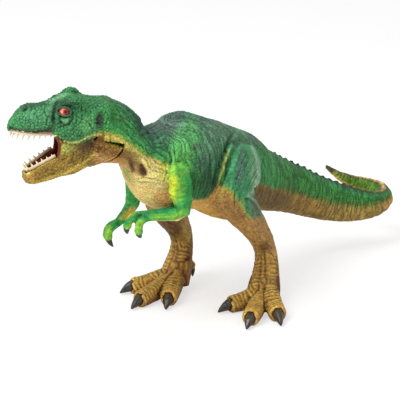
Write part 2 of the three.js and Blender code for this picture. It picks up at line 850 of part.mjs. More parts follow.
// Pocket: the room that the knuckle and the jaw's cheek skin sweep between the cheeks
const pocketRadius = knuckleRadius + 2 * jawClearance;
const pocketBoss = bossRadius + jawClearance;
const pocketHalfWidth = jawWidth / 2 + jawClearance;
const pocketTop = 11 * degrees;
const pocketBack = knuckleEnd - gapeAngle - openingAngle;
const pocket = knuckle(hinge, pocketRadius, pocketBoss, pocketHalfWidth, pocketTop, pocketBack);

const palate = palateBlock.subtract(palateArch).subtract(pocket);

// Throat: below the cheeks the neck ends in an arc about the hinge, and the skin before the arc
// swings with the jaw, clear of the cheeks
const throatRadius = throatReach + jawClearance;
const throatTop = -7 * degrees;
const throatArc = knuckle(hinge, throatRadius, throatRadius / 2, headWidth, throatTop, -turn / 2);
const widestGape = nosedDown(hinge, gapeAngle + openingAngle);
const underJaw = loft(
  [0, throatReach].map((fore) => {
    const frame = { ...widestGape, at: pointIn(widestGape, fore, 0, 0) };
    return squareSection(frame, headWidth, -throatRadius, 0);
  }),
);
const throat = throatArc.add(underJaw);
const throatFront = -60 * degrees;
const throatRear = openingAngle + jawClearance / throatReach - turn / 2;
const cheekRoom = setInto(
  hinge,
  new THREE.CylinderGeometry(cheekClearRadius, cheekClearRadius, 2 * headWidth, roundSides),
);
const throatSkin = wholeBody
  .intersect(knuckle(hinge, throatReach, pinRadius, headWidth, throatFront, throatRear))
  .subtract(cheekRoom);
lowerJaw = lowerJaw.add(throatSkin).subtract(pin(pinClearance));

let head = wholeBody.intersect(blockBefore(neckSeam, halfSeat)).subtract(throat);
head = head.add(neckPlug(0)).add(skullSkin);
for (const side of [1, -1]) {
  head = head.add(brow(side));
  head = head.add(cheek(side));
  head = head.subtract(eyeball(side, seatGap));
  head = head.subtract(nostril(side));
  head = head.subtract(furrow(side));
}
head = head.subtract(mouthHollow);
head = head.subtract(pocket);
head = head.subtract(pin(pinClearance));

// Limbs: a smooth skin along a chain of joints. Each row: place, front, rear and half width. A section
// stands square to the run of the rows within reach of it, so that none cuts another in a bend.
function limb(rows, leftAt, sides, reach = 1) {
  const sections = rows.map((row, index) => {
    const [x, y, z, front, rear, halfWidth] = row;
    const before = rows[Math.max(index - reach, 0)];
    const after = rows[Math.min(index + reach, rows.length - 1)];
    const along = vec(after[0] - before[0], after[1] - before[1], after[2] - before[2]).normalize();
    const outward = leftAt(index / (rows.length - 1));
    const left = outward.clone().addScaledVector(along, -outward.dot(along)).normalize();
    const frame = { at: vec(x, y, z), fore: along, left, up: along.clone().cross(left) };
    return crossSection(frame, { halfWidth, rise: front, drop: rear }, sides);
  });
  return loft(sections);
}

// A smooth line through a chain of joints, read by place: 0 at the first joint, 1 at the second.
function chainLine(joints) {
  const line = new THREE.CatmullRomCurve3(joints, false, 'centripetal');
  return (place) => line.getPoint(place / (joints.length - 1));
}

const pelvis = frameAt(vec(0, 0, 0), pelvisYaw, 0);

// Joints of each leg in the pelvis frame: crest of the thigh, hip, knee, ankle and foot.
// Shares of torso length (fore), torso width (out) and hip height.
const legPoses = {
  left: {
    side: 1,
    yaw: 42 * degrees,
    reachShare: 1,
    splays: { inner: -48 * degrees, middle: 0, outer: 28 * degrees },
    jointShares: [
      [0.03, 0.326, 1.25],
      [0.085, 0.374, 1.126],
      [0.24, 0.41, 0.937],
      [-0.127, 0.455, 0.388],
      [0.015, 0.59, 0.06],
    ],
  },
  right: {
    side: -1,
    yaw: 21 * degrees,
    reachShare: 1.15,
    splays: { inner: -28 * degrees, middle: 0, outer: 32 * degrees },
    jointShares: [
      [-0.02, 0.326, 1.34],
      [0.09, 0.366, 1.107],
      [0.3, 0.52, 0.825],
      [-0.015, 0.645, 0.349],
      [0.14, 0.578, 0.06],
    ],
  },
};

// Sections of a leg: place along its joints, then front, rear and half width as shares of leg depth
// (front and rear) and leg width.
const legShares = [
  [0, 0.22, 0.22, 0.18],
  [0.35, 0.42, 0.3, 0.3],
  [0.8, 0.64, 0.42, 0.43],
  [1.2, 0.71, 0.49, 0.49],
  [1.6, 0.6, 0.52, 0.5],
  [2, 0.36, 0.52, 0.46],
  [2.35, 0.25, 0.45, 0.4],
  [2.7, 0.21, 0.29, 0.32],
  [3, 0.215, 0.24, 0.29],
  [3.4, 0.22, 0.24, 0.35],
  [3.75, 0.24, 0.26, 0.44],
  [4, 0.2, 0.24, 0.46],
];

// Toes: length as a share of foot reach, and the height of the claws as a share of toe height
const clawLiftShare = 0.5;
const toeLengthShares = { inner: 0.7, middle: 1, outer: 0.72 };
const toeRootShares = { inner: -0.22, middle: 0, outer: 0.45 }; // out from the foot's middle, of toe width

// Sections of a toe: place along it, height of its middle, half width, rise and drop.
// Shares of toe length, toe height, toe width, toe height and toe height.
const toeShares = [
  [-0.1, 0.9, 0.5, 0.5, 1],
  [0.2, 0.78, 0.52, 0.55, 0.9],
  [0.5, 0.64, 0.5, 0.52, 0.78],
  [0.72, 0.54, 0.52, 0.5, 0.62],
  [0.9, 0.5, 0.52, 0.5, 0.56],
  [1.02, 0.47, 0.47, 0.46, 0.52],
  [1.08, 0.45, 0.34, 0.34, 0.4],
];

// Sections of a claw: place along it, fall of its middle, half width and half height.
// Shares of claw length, claw length, claw width and claw width.
const clawShares = [
  [-0.2, 0, 0.4, 0.42],
  [0.06, 0, 0.48, 0.5],
  [0.3, 0.04, 0.46, 0.49],
  [0.6, 0.16, 0.34, 0.38],
  [0.87, 0.32, 0.18, 0.21],
  [1, 0.43, 0.05, 0.06],
];

function claw(frame, length, width, grow) {
  return loft(
    clawShares.map(([foreShare, fallShare, widthShare, heightShare]) => {
      const at = pointIn(frame, foreShare * length, 0, -fallShare * length);
      const size = { halfWidth: widthShare * width, rise: heightShare * width, drop: heightShare * width };
      return crossSection({ ...frame, at }, size, clawSides, grow);
    }),
  );
}

const toeFullnessShare = 0.85;

function toe(frame, length) {
  return loft(
    toeShares.map(([foreShare, liftShare, widthShare, riseShare, dropShare]) => {
      const at = pointIn(frame, foreShare * length, 0, liftShare * toeHeight);
      const size = {
        halfWidth: widthShare * toeWidth,
        rise: riseShare * toeHeight,
        drop: dropShare * toeHeight,
        fullness: toeFullnessShare,
      };
      return crossSection({ ...frame, at }, size, toeSides);
    }),
  );
}

const floor = blockBehind({ at: vec(0, 0, 0), fore: upward, left: vec(0, 1, 0), up: vec(-1, 0, 0) }, 0);

// Rear toe: girth along it as shares of its length and width
const halluxShares = [
  [0, 0.45],
  [0.5, 0.5],
  [0.85, 0.48],
  [1, 0.36],
];
const halluxRootPlace = 3.5;
const halluxTurn = 26 * degrees;
const halluxPitch = -62 * degrees;
const halluxLiftShare = 0.75;
const halluxClawShare = 0.62;
const hipPlace = 1.1;
const kneeReach = 4;

function makeLeg({ side, yaw, reachShare, splays, jointShares }) {
  const joints = jointShares.map(([fore, out, height]) =>
    pointIn(pelvis, fore * torsoLength, side * out * torsoWidth, height * hipHeight),
  );
  const line = chainLine(joints);
  const rows = smoothRows(legShares, 2).map(([place, front, rear, width]) => {
    const at = line(place);
    return [at.x, at.y, at.z, front * legDepth, rear * legDepth, width * legWidth];
  });
  const leftAt = (share) => frameAt(pelvis.at, pelvisYaw + (yaw - pelvisYaw) * share, 0).left;
  let leg = limb(rows, leftAt, limbSides, kneeReach);
  const foot = joints[joints.length - 1].clone().setZ(0);
  const claws = {};
  for (const [name, splay] of Object.entries(splays)) {
    const root = pointIn(frameAt(foot, yaw, 0), 0, side * toeRootShares[name] * toeWidth, 0);
    const frame = frameAt(root, yaw + side * splay, 0);
    const length = toeLengthShares[name] * reachShare * footReach;
    const clawFrame = { ...frame, at: pointIn(frame, length, 0, clawLiftShare * toeHeight) };
    leg = leg.add(toe(frame, length));
    leg = leg.subtract(claw(clawFrame, toeClawLength, toeClawWidth, seatGap));
    claws[name] = claw(clawFrame, toeClawLength, toeClawWidth, 0);
  }
  const halluxYaw = yaw + turn / 2 + side * halluxTurn;
  const halluxRoot = frameAt(line(halluxRootPlace), halluxYaw, halluxPitch);
  const halluxFrame = { ...halluxRoot, at: pointIn(halluxRoot, 0, 0, halluxLiftShare * halluxWidth) };
  const hallux = loft(
    halluxShares.map(([foreShare, girthShare]) => {
      const at = pointIn(halluxFrame, foreShare * halluxLength, 0, 0);
      const girth = girthShare * halluxWidth;
      const size = { halfWidth: girth, rise: girth, drop: girth };
      return crossSection({ ...halluxFrame, at }, size, fingerSides);
    }),
  );
  const halluxClawFrame = { ...halluxFrame, at: pointIn(halluxFrame, halluxLength, 0, 0) };
  const halluxClawWidth = halluxClawShare * halluxWidth;
  leg = leg.add(hallux);
  leg = leg.subtract(claw(halluxClawFrame, halluxClawLength, halluxClawWidth, seatGap));
  claws.rear = claw(halluxClawFrame, halluxClawLength, halluxClawWidth, 0);
  leg = leg.subtract(floor).subtract(wholeBodyGrown);
  const inward = frameAt(line(hipPlace), pelvisYaw - (side * turn) / 4, 0);
  const hipPlug = (grow) => plug(inward, plugLength + legWidth / 3, limbPlugWidth, limbPlugWidth, grow);
  leg = leg.add(hipPlug(0));
  return { leg, claws, hipPlug };
}

// Arms: joints in the shoulder frame, fore, out from the flank and height, as shares of arm length.
const shoulderIndex = (tailRows.length + 7) * bodySteps;
const shoulder = frameAt(bodyFrame(shoulderIndex).at, shoulderYaw, 0);
const flankShare = 0.45;

const armPoses = {
  left: {
    side: 1,
    jointShares: [
      [0.06, -0.17, 0.1],
      [0.07, -0.07, 0.03],
      [0.06, -0.03, -0.22],
      [0.045, -0.03, -0.44],
      [0.17, -0.11, -0.475],
      [0.34, -0.22, -0.475],
      [0.4, -0.27, -0.49],
    ],
    fingers: {
      inner: [
        [0.37, -0.3, -0.48],
        [0.45, -0.35, -0.49],
        [0.51, -0.38, -0.55],
        [0.53, -0.39, -0.63],
      ],
      outer: [
        [0.36, -0.22, -0.48],
        [0.44, -0.25, -0.52],
        [0.46, -0.27, -0.6],
        [0.45, -0.28, -0.68],
      ],
    },
    clawScale: 0.75,
    girthShares: [1, 1],
  },
  right: {
    side: -1,
    jointShares: [
      [0.0, -0.14, -0.06],
      [0.0, -0.04, -0.16],
      [-0.03, 0.05, -0.42],
      [-0.04, 0.12, -0.66],
      [0.07, 0.14, -0.79],
      [0.16, 0.15, -0.85],
      [0.22, 0.15, -0.86],
    ],
    fingers: {
      inner: [
        [0.19, 0.12, -0.85],
        [0.28, 0.11, -0.87],
        [0.32, 0.11, -0.93],
        [0.31, 0.11, -1],
      ],
      outer: [
        [0.16, 0.19, -0.86],
        [0.24, 0.2, -0.89],
        [0.27, 0.2, -0.96],
        [0.26, 0.2, -1.02],
      ],
    },
    clawScale: 1.3,
    girthShares: [1, 0.72],
  },
};

// Sections of an arm at its joints: front, rear and half width as shares of arm thickness.
const armShares = [
  [0.4, 0.4, 0.3],
  [0.58, 0.6, 0.44],
  [0.52, 0.55, 0.42],
  [0.38, 0.44, 0.38],
  [0.3, 0.32, 0.32],
  [0.26, 0.26, 0.3],
  [0.24, 0.24, 0.32],
];

const fingerShares = [[0.46], [0.5], [0.48], [0.42]];
const armSteps = 2;

const fingerClawShare = 0.7;

function makeArm({ side, jointShares, fingers, clawScale, girthShares }) {
  const inShoulder = ([fore, out, lift]) => {
    const outward = flankShare * torsoWidth + out * armLength;
    return pointIn(shoulder, fore * armLength, side * outward, lift * armLength);
  };
  const leftAt = () => shoulder.left;
  const line = chainLine(jointShares.map(inShoulder));
  const armRows = smoothRows(armShares, armSteps);
  const rows = armRows.map(([front, rear, width], index) => {
    const at = line(index / armSteps);
    const [shoulderShare, handShare] = girthShares;
    const girthShare = shoulderShare + ((handShare - shoulderShare) * index) / armRows.length;
    const girth = girthShare * armThickness;
    return [at.x, at.y, at.z, front * girth, rear * girth, width * girth];
  });
  let arm = limb(rows, leftAt, armSides);
  const claws = {};
  for (const [name, fingerJoints] of Object.entries(fingers)) {
    const fingerLine = chainLine(fingerJoints.map(inShoulder));
    const fingerRows = smoothRows(fingerShares, armSteps).map(([girthShare], index) => {
      const at = fingerLine(index / armSteps);
      const girth = girthShare * fingerWidth;
      return [at.x, at.y, at.z, girth, girth, girth];
    });
    arm = arm.add(limb(fingerRows, leftAt, fingerSides));
    const [beforeTip, tip] = fingerJoints.slice(-2).map(inShoulder);
    const along = tip.clone().sub(beforeTip).normalize();
    const left = shoulder.left.clone().addScaledVector(along, -shoulder.left.dot(along)).normalize();
    const clawFrame = { at: tip, fore: along, left, up: along.clone().cross(left) };
    const length = clawScale * fingerClawLength;
    const width = fingerClawShare * fingerWidth;
    arm = arm.subtract(claw(clawFrame, length, width, seatGap));
    claws[name] = claw(clawFrame, length, width, 0);
  }
  arm = arm.subtract(wholeBodyGrown);
  const inward = frameAt(line(1), shoulderYaw - (side * turn) / 4, 0);
  const armPlug = (grow) => plug(inward, armPlugLength + armThickness / 3, armPlugWidth, armPlugWidth, grow);
  arm = arm.add(armPlug(0));
  return { arm, claws, armPlug };
}

// Torso: what lies between the seams, with a socket for each plug
let torso = wholeBody.subtract(blockBefore(neckSeam, -halfSeat)).subtract(blockBehind(tailSeam, -halfSeat));
torso = torso.subtract(neckPlug(plugGap)).subtract(tailPlug(plugGap));

const nodes = [];
const addNode = (name, solid, material) => nodes.push({ name, solid, material });

for (const [sideName, pose] of Object.entries(legPoses)) {
  const { leg, claws, hipPlug } = makeLeg(pose);
  torso = torso.subtract(hipPlug(plugGap));
  addNode(`${sideName}_leg`, leg, legOchre);
  for (const [toeName, solid] of Object.entries(claws)) {
    addNode(`${sideName}_${toeName}_toe_claw`, solid, clawBlack);
  }
}
for (const [sideName, pose] of Object.entries(armPoses)) {
  const { arm, claws, armPlug } = makeArm(pose);
  torso = torso.subtract(armPlug(plugGap));
  addNode(`${sideName}_arm`, arm, armLime);
  for (const [fingerName, solid] of Object.entries(claws)) {
    addNode(`${sideName}_${fingerName}_finger_claw`, solid, clawBlack);
  }
}
addNode('torso', torso, skinGreen);
addNode('tail', tail, tailGreen);
addNode('head_and_neck', head, headGreen);
addNode('left_eye', eyeball(1, 0), eyeRed);
addNode('right_eye', eyeball(-1, 0), eyeRed);
addNode('palate', palate, mouthRed);
addNode('upper_teeth', upperTeeth, toothCream);
addNode('lower_jaw', lowerJaw, jawOchre);
addNode('lower_teeth', lowerTeeth, toothCream);
addNode('tongue', tongue, tongueRed);
addNode('jaw_pin', pin(0), pinGrey);

function meshOf({ name, solid, material }) {
  const { numProp, vertProperties, triVerts } = solid.getMesh();
  const geometry = new THREE.BufferGeometry();
  const positions = new Float32Array((vertProperties.length / numProp) * 3);
  for (let i = 0; i < positions.length / 3; i += 1) {
    positions.set(vertProperties.subarray(i * numProp, i * numProp + 3), 3 * i);
  }
  geometry.setAttribute('position', new THREE.BufferAttribute(positions, 3));
  geometry.setIndex(new THREE.BufferAttribute(triVerts, 1));
  geometry.computeVertexNormals();
  const mesh = new THREE.Mesh(geometry, material);
  mesh.name = name;
  return mesh;
}

const figure = new THREE.Group();
nodes.forEach((node) => figure.add(meshOf(node)));

// The origin goes to the floor under the middle of the box.
const box = new THREE.Box3().setFromObject(figure);
const centre = box.getCenter(vec(0, 0, 0));
figure.position.set(-centre.x, -centre.y, -box.min.z);

const group = new THREE.Group();
group.add(figure);

export default group;
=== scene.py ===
"""Looks of the toy dinosaur figure: sculpted skin, paint, teeth, claws and eyes around the part.

Sculpting lengths are in millimetres. Places given as pairs are in the photograph's pixels.
"""
import math

import bmesh
import bpy
import numpy as np
from mathutils import Matrix, Vector
from mathutils.bvhtree import BVHTree


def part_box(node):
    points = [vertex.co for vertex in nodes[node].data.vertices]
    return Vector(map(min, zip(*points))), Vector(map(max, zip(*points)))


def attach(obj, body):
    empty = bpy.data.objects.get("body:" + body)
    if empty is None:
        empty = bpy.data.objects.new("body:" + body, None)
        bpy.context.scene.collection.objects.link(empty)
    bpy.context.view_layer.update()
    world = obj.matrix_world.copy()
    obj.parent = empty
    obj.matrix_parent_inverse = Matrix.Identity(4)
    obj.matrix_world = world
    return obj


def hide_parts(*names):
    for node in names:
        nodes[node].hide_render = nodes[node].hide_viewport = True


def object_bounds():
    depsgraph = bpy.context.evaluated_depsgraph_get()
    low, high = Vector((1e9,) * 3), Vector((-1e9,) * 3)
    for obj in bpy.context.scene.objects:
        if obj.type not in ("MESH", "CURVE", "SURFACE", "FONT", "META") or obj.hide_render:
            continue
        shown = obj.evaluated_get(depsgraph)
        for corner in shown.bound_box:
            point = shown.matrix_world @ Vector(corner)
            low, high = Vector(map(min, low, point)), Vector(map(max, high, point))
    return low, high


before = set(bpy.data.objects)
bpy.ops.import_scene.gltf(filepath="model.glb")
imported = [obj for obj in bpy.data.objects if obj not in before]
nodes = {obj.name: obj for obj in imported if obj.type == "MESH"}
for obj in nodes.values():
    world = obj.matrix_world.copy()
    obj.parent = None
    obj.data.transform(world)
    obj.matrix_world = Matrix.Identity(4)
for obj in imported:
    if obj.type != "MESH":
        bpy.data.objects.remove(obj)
cad_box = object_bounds()

MM = 0.001
FIGURE, JAW = "figure", "jaw"
LOW_CORNER, HIGH_CORNER = (np.array(corner) / MM for corner in cad_box)
WELD = 0.002 * MM
PEBBLE_RIM = 0.35

# ---- camera of the photograph
EYE_AZIMUTH, EYE_ELEVATION = 30.0, 20.0
EYE_DISTANCE = 530.0
EYE_TARGET = np.array([11.28, -10.47, 43.0])
FOCAL_PIXELS = 1238.0
PICTURE = 400.0
SENSOR = 36.0
az, el = math.radians(EYE_AZIMUTH), math.radians(EYE_ELEVATION)
to_eye = np.array([math.sin(az) * math.cos(el), math.cos(az) * math.cos(el), math.sin(el)])
eye_at = EYE_TARGET + EYE_DISTANCE * to_eye
sideways = np.array([-math.cos(az), math.sin(az), 0.0])
upright = np.cross(sideways, -to_eye)


def add_camera():
    data = bpy.data.cameras.new("camera")
    data.sensor_width = SENSOR
    data.lens = FOCAL_PIXELS / PICTURE * SENSOR
    data.clip_start, data.clip_end = 0.01, 10.0
    camera = bpy.data.objects.new("camera", data)
    camera.location = Vector(eye_at * MM)
    camera.rotation_mode = "QUATERNION"
    camera.rotation_quaternion = Vector(-to_eye).to_track_quat("-Z", "Y")
    bpy.context.scene.collection.objects.link(camera)
    bpy.context.scene.camera = camera


# ---- noise
def hashed(i, j, k, seed):
    h = (i * 374761393 + j * 668265263 + k * 2147483647 + seed * 1274126177) & 0xFFFFFFFF
    h = ((h ^ (h >> 13)) * 1274126177) & 0xFFFFFFFF
    h = ((h ^ (h >> 16)) * 2246822519) & 0xFFFFFFFF
    return ((h ^ (h >> 15)) & 0xFFFFFF) / float(0xFFFFFF)


def noise(points, seed=0):
    """Smooth noise from -1 to 1."""
    base = np.floor(points)
    f = points - base
    f = f * f * f * (f * (f * 6 - 15) + 10)
    i, j, k = base.astype(np.int64).T
    total = np.zeros(len(points))
    for dx in (0, 1):
        wx = f[:, 0] if dx else 1 - f[:, 0]
        for dy in (0, 1):
            wy = f[:, 1] if dy else 1 - f[:, 1]
            for dz in (0, 1):
                wz = f[:, 2] if dz else 1 - f[:, 2]
                total += wx * wy * wz * hashed(i + dx, j + dy, k + dz, seed)
    return total * 2 - 1


def layered(points, octaves, seed):
    """Noise with finer noise on it."""
    total, size = np.zeros(len(points)), 1.0
    for n in range(octaves):
        total += size * noise(points * 2.03 ** n + 17.3 * n, seed + n)
        size *= 0.5
    return total / (2 - 0.5 ** (octaves - 1))


def pebbles(points, seed):
    """Rounded grains about one unit across, from 0 between them to 1 on top."""
    base = np.floor(points).astype(np.int64)
    nearest = np.full(len(points), 9.0)
    second = nearest.copy()
    for dx in (-1, 0, 1):
        for dy in (-1, 0, 1):
            for dz in (-1, 0, 1):
                i, j, k = (base + (dx, dy, dz)).T
                spread = [hashed(i, j, k, seed + c) for c in range(3)]
                d = np.linalg.norm(points - np.stack([i, j, k], 1) - np.stack(spread, 1), axis=1)
                second = np.minimum(second, np.maximum(nearest, d))
                nearest = np.minimum(nearest, d)
    return step(0, PEBBLE_RIM, second - nearest)


def step(low, high, x):
    t = np.clip((x - low) / (high - low), 0, 1)
    return t * t * (3 - 2 * t)


def bump(x, width):
    return np.exp(-(x / width) ** 2)


def wrinkles(across, along_it, third, seed, sharp=0.3):
    """Thin valleys that run along the second coordinate: 0 outside them, -1 in them."""
    return -bump(layered(np.stack([across, along_it, third], 1), 2, seed), sharp)


# ---- meshes
def welded(node, grow=0.0):
    bm = bmesh.new()
    bm.from_mesh(node.data)
    bmesh.ops.remove_doubles(bm, verts=bm.verts, dist=WELD)
    bm.normal_update()
    for v in bm.verts:
        v.co += v.normal * grow * MM
    return bm


def voxel_of(fine):
    return fine


def remeshed(sources, voxel, grow=0.0, lumps=()):
    """Points and quads of the joined outside of CAD nodes and balls (middle, radius)."""
    whole = bmesh.new()
    for middle, radius in lumps:
        at = Matrix.Translation(Vector(middle) * MM)
        bmesh.ops.create_icosphere(whole, subdivisions=3, radius=radius * MM, matrix=at)
    for node in sources:
        part = welded(node, grow)
        scratch = bpy.data.meshes.new("scratch")
        part.to_mesh(scratch)
        part.free()
        whole.from_mesh(scratch)
        bpy.data.meshes.remove(scratch)
    mesh = bpy.data.meshes.new("remesh_source")
    whole.to_mesh(mesh)
    whole.free()
    holder = bpy.data.objects.new("remesh_holder", mesh)
    bpy.context.scene.collection.objects.link(holder)
    change = holder.modifiers.new("remesh", "REMESH")
    change.mode = "VOXEL"
    change.voxel_size = voxel * MM
    depsgraph = bpy.context.evaluated_depsgraph_get()
    made = bpy.data.meshes.new_from_object(holder.evaluated_get(depsgraph))
    points = np.empty(len(made.vertices) * 3)
    made.vertices.foreach_get("co", points)
    corners = np.empty(len(made.loops), np.int64)
    made.loops.foreach_get("vertex_index", corners)
    bpy.data.objects.remove(holder)
    bpy.data.meshes.remove(mesh)
    bpy.data.meshes.remove(made)
    return points.reshape(-1, 3) / MM, corners.reshape(-1, 4)


def edges_of(quads):
    pairs = np.concatenate([quads[:, [n, (n + 1) % 4]] for n in range(4)])
    return np.unique(np.sort(pairs, 1), axis=0)


def largest(points, quads):
    """Drops the crumbs that the narrow gaps between nodes leave inside."""
    e = edges_of(quads)
    label = np.arange(len(points))
    while True:
        low = np.minimum(label[e[:, 0]], label[e[:, 1]])
        new = label.copy()
        np.minimum.at(new, e[:, 0], low)
        np.minimum.at(new, e[:, 1], low)
        new = new[new]
        if (new == label).all():
            break
        label = new
    names, counts = np.unique(label, return_counts=True)
    keep = label == names[counts.argmax()]
    number = np.cumsum(keep) - 1
    quads = quads[keep[quads[:, 0]]]
    return points[keep], number[quads]


class Skin:
    """An even quad mesh with the means to smooth and carve it."""

    def __init__(self, points, quads):
        self.points, self.quads = points, quads
        self.edges = edges_of(quads)
        self.degree = np.bincount(self.edges.ravel(), minlength=len(points)).astype(float)

    def average(self, values):
        a, b, n = self.edges[:, 0], self.edges[:, 1], len(self.points)
        columns = values.reshape(n, -1).T
        out = [np.bincount(a, c[b], n) + np.bincount(b, c[a], n) for c in columns]
        return (np.stack(out, 1) / self.degree[:, None]).reshape(values.shape)

    def blurred(self, values, rounds, share=0.5):
        """share may be one number for each point."""
        w = share if np.isscalar(share) or values.ndim == 1 else share[:, None]
        for _ in range(rounds):
            values = values + w * (self.average(values) - values)
        return values

    def normals(self):
        p, q = self.points, self.quads
        n = np.cross(p[q[:, 2]] - p[q[:, 0]], p[q[:, 3]] - p[q[:, 1]])
        flat = q.ravel()
        out = np.stack([np.bincount(flat, np.repeat(n[:, c], 4), len(p)) for c in range(3)], 1)
        return out / np.maximum(np.linalg.norm(out, axis=1), 1e-12)[:, None]

    def smooth(self, rounds, share):
        """Takes the facets out and gives back the girth that this costs."""
        before = self.points
        self.points = self.blurred(before, rounds, share)
        n = self.normals()
        lost = ((before - self.points) * n).sum(1)
        self.points = self.points + n * self.blurred(lost, rounds, share)[:, None]

    def push(self, amount):
        moved = self.points + self.normals() * np.reshape(amount, (-1, 1))
        self.points = np.clip(moved, LOW_CORNER, HIGH_CORNER)

    def relief(self, rounds):
        """Height of each point over the skin's blurred form."""
        return ((self.points - self.blurred(self.points, rounds)) * self.normals()).sum(1)


def skin_of(sources, voxel, grow, softness, lumps=()):
    """The sources' smoothed outside; softness is the blur in millimetres."""
    made = Skin(*largest(*remeshed(sources, voxel, grow, lumps)))
    made.smooth(max(1, int(2 * (softness / voxel) ** 2)), 0.5)
    made.push(-grow)
    return made


def tree_of(node):
    bm = welded(node)
    for v in bm.verts:
        v.co /= MM
    tree = BVHTree.FromBMesh(bm)
    bm.free()
    return tree


def box_of(name):
    return (np.array(corner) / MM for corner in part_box(name))


def gap_to(points, name, reach):
    """Distance of each point from a node, no farther than reach."""
    low, high = box_of(name)
    out = np.full(len(points), reach)
    tree = tree_of(nodes[name])
    for i in np.nonzero(((points > low - reach) & (points < high + reach)).all(1))[0]:
        found = tree.find_nearest(Vector(points[i]), reach)[3]
        if found is not None:
            out[i] = found
    return out


# ---- paint
def rgb(r, g, b):
    c = np.array([r, g, b]) / 255.0
    return np.where(c <= 0.04045, c / 12.92, ((c + 0.055) / 1.055) ** 2.4)


def filled(points, r, g, b):
    """One colour for every point."""
    return np.tile(rgb(r, g, b), (len(points), 1))


def over(paint, colour, mask):
    return paint + (colour - paint) * np.clip(mask, 0, 1)[:, None]


class Sight:
    """Points where the photograph shows them, with brushes drawn in its pixels."""

    def __init__(self, points):
        rel = points - eye_at
        depth = rel @ -to_eye
        self.u = PICTURE / 2 + FOCAL_PIXELS * (rel @ sideways) / depth
        self.v = PICTURE / 2 - FOCAL_PIXELS * (rel @ upright) / depth

    def oval(self, x, y, rx, ry, turn=0.0):
        """A soft-edged oval, by its middle, half sizes and turn."""
        c, sn = math.cos(math.radians(turn)), math.sin(math.radians(turn))
        dx, dy = self.u - x, self.v - y
        r = np.hypot((dx * c + dy * sn) / rx, (-dx * sn + dy * c) / ry)
        return 1 - step(0.5, 1.5, r)

    def line(self, pts):
        """Distance from a line and the share of the way along it."""
        pts = np.array(pts, float)
        best, share = np.full(len(self.u), 1e9), np.zeros(len(self.u))
        total = len(pts) - 1
        for n in range(total):
            a, v = pts[n], pts[n + 1] - pts[n]
            dx, dy = self.u - a[0], self.v - a[1]
            t = np.clip((dx * v[0] + dy * v[1]) / (v @ v), 0, 1)
            d = np.hypot(dx - t * v[0], dy - t * v[1])
            closer = d < best
            best[closer] = d[closer]
            share[closer] = ((n + t) / total)[closer]
        return best, share

    def stroked(self, paint, strokes, where=1.0):
        """Each stroke: colour, strength, then an oval's five numbers or a line and its half width."""
        for colour, strength, *shape in strokes:
            mask = self.oval(*shape) if len(shape) == 5 else bump(self.line(shape[0])[0], shape[1])
            paint = over(paint, rgb(*colour), mask * strength * where)
        return paint

    def folds(self, table):
        """Height of folds: points, half width in pixels, depth in millimetres (raised if negative)."""
        total = np.zeros(len(self.u))
        for pts, width, depth in table:
            d, share = self.line(pts)
            total -= depth * bump(d, width) * step(0, 0.14, share) * (1 - step(0.86, 1, share))
        return total


def washed_shaded_and_highlit(paint, relief, deep, bright, reach):
    """Dark wash with painted shade in the hollows, and dry brush with painted highlight on the crests."""
    paint = paint * (1 - deep * np.clip(-relief / reach, 0, 1))[:, None]
    lighter = np.minimum(paint * 1.45 + 0.03, 1)
    return paint + (lighter - paint) * (bright * np.clip(relief / reach, 0, 1))[:, None]


# ---- centre lines, tail tip to snout, and the limbs
SPINE = np.array([
    (-73.2, -36.4, 36.7), (-80.6, -35.0, 31.0), (-88.0, -33.2, 27.4), (-93.9, -29.5, 25.9),
    (-96.2, -23.1, 24.9), (-93.1, -16.5, 23.8), (-86.9, -13.9, 23.3), (-78.7, -14.3, 23.8),
    (-68.5, -16.6, 26.2), (-56.0, -18.5, 31.7), (-43.6, -18.7, 38.4), (-32.6, -17.5, 43.2),
    (-21.7, -14.5, 47.8), (-12.4, -11.1, 51.9), (-4.4, -7.5, 54.3), (3.6, -3.4, 56.7),
    (11.6, 0.4, 60.7), (19.6, 3.6, 64.6), (27.6, 6.1, 68.1), (34.7, 7.8, 69.7),
    (40.8, 8.8, 70.3), (47.2, 9.4, 71.7), (51.7, 9.4, 75.2), (55.1, 9.4, 80.1),
    (58.4, 8.9, 83.7), (62.5, 8.0, 86.5), (67.3, 6.8, 87.7), (71.2, 5.8, 88.6),
])
LEG_LINES = {
    "left_leg": [(0.5, 7.9, 70.9), (2.9, 10.9, 63.8), (11.4, 16.3, 53.1), (-10.6, 7.8, 22),
                 (-4.4, 16, 3.4)],
    "right_leg": [(7.4, -14.5, 76), (14.4, -12.8, 62.8), (28.9, -12.1, 46.8), (12.5, -24.6, 19.8),
                  (20.5, -18.3, 3.4)],
}
LEG_FORE = {"left_leg": np.array([0.94, 0.34, 0.0]), "right_leg": np.array([0.94, -0.34, 0.0])}
LEG_STEPS = 60
FOOT_YAW = {"left": 42.0, "right": 21.0}
SKULL_AT = np.array([71.66, 5.77, 85.32])
SKULL_FORE = np.array([0.9372, -0.2511, 0.2419])
SKULL_LEFT = np.array([0.2588, 0.9659, 0.0])
SKULL_UP = np.array([-0.2337, 0.0626, 0.9703])
JAW_DROP = math.radians(43)
JAW_FORE = SKULL_FORE * math.cos(JAW_DROP) - SKULL_UP * math.sin(JAW_DROP)
JAW_UP = SKULL_UP * math.cos(JAW_DROP) + SKULL_FORE * math.sin(JAW_DROP)


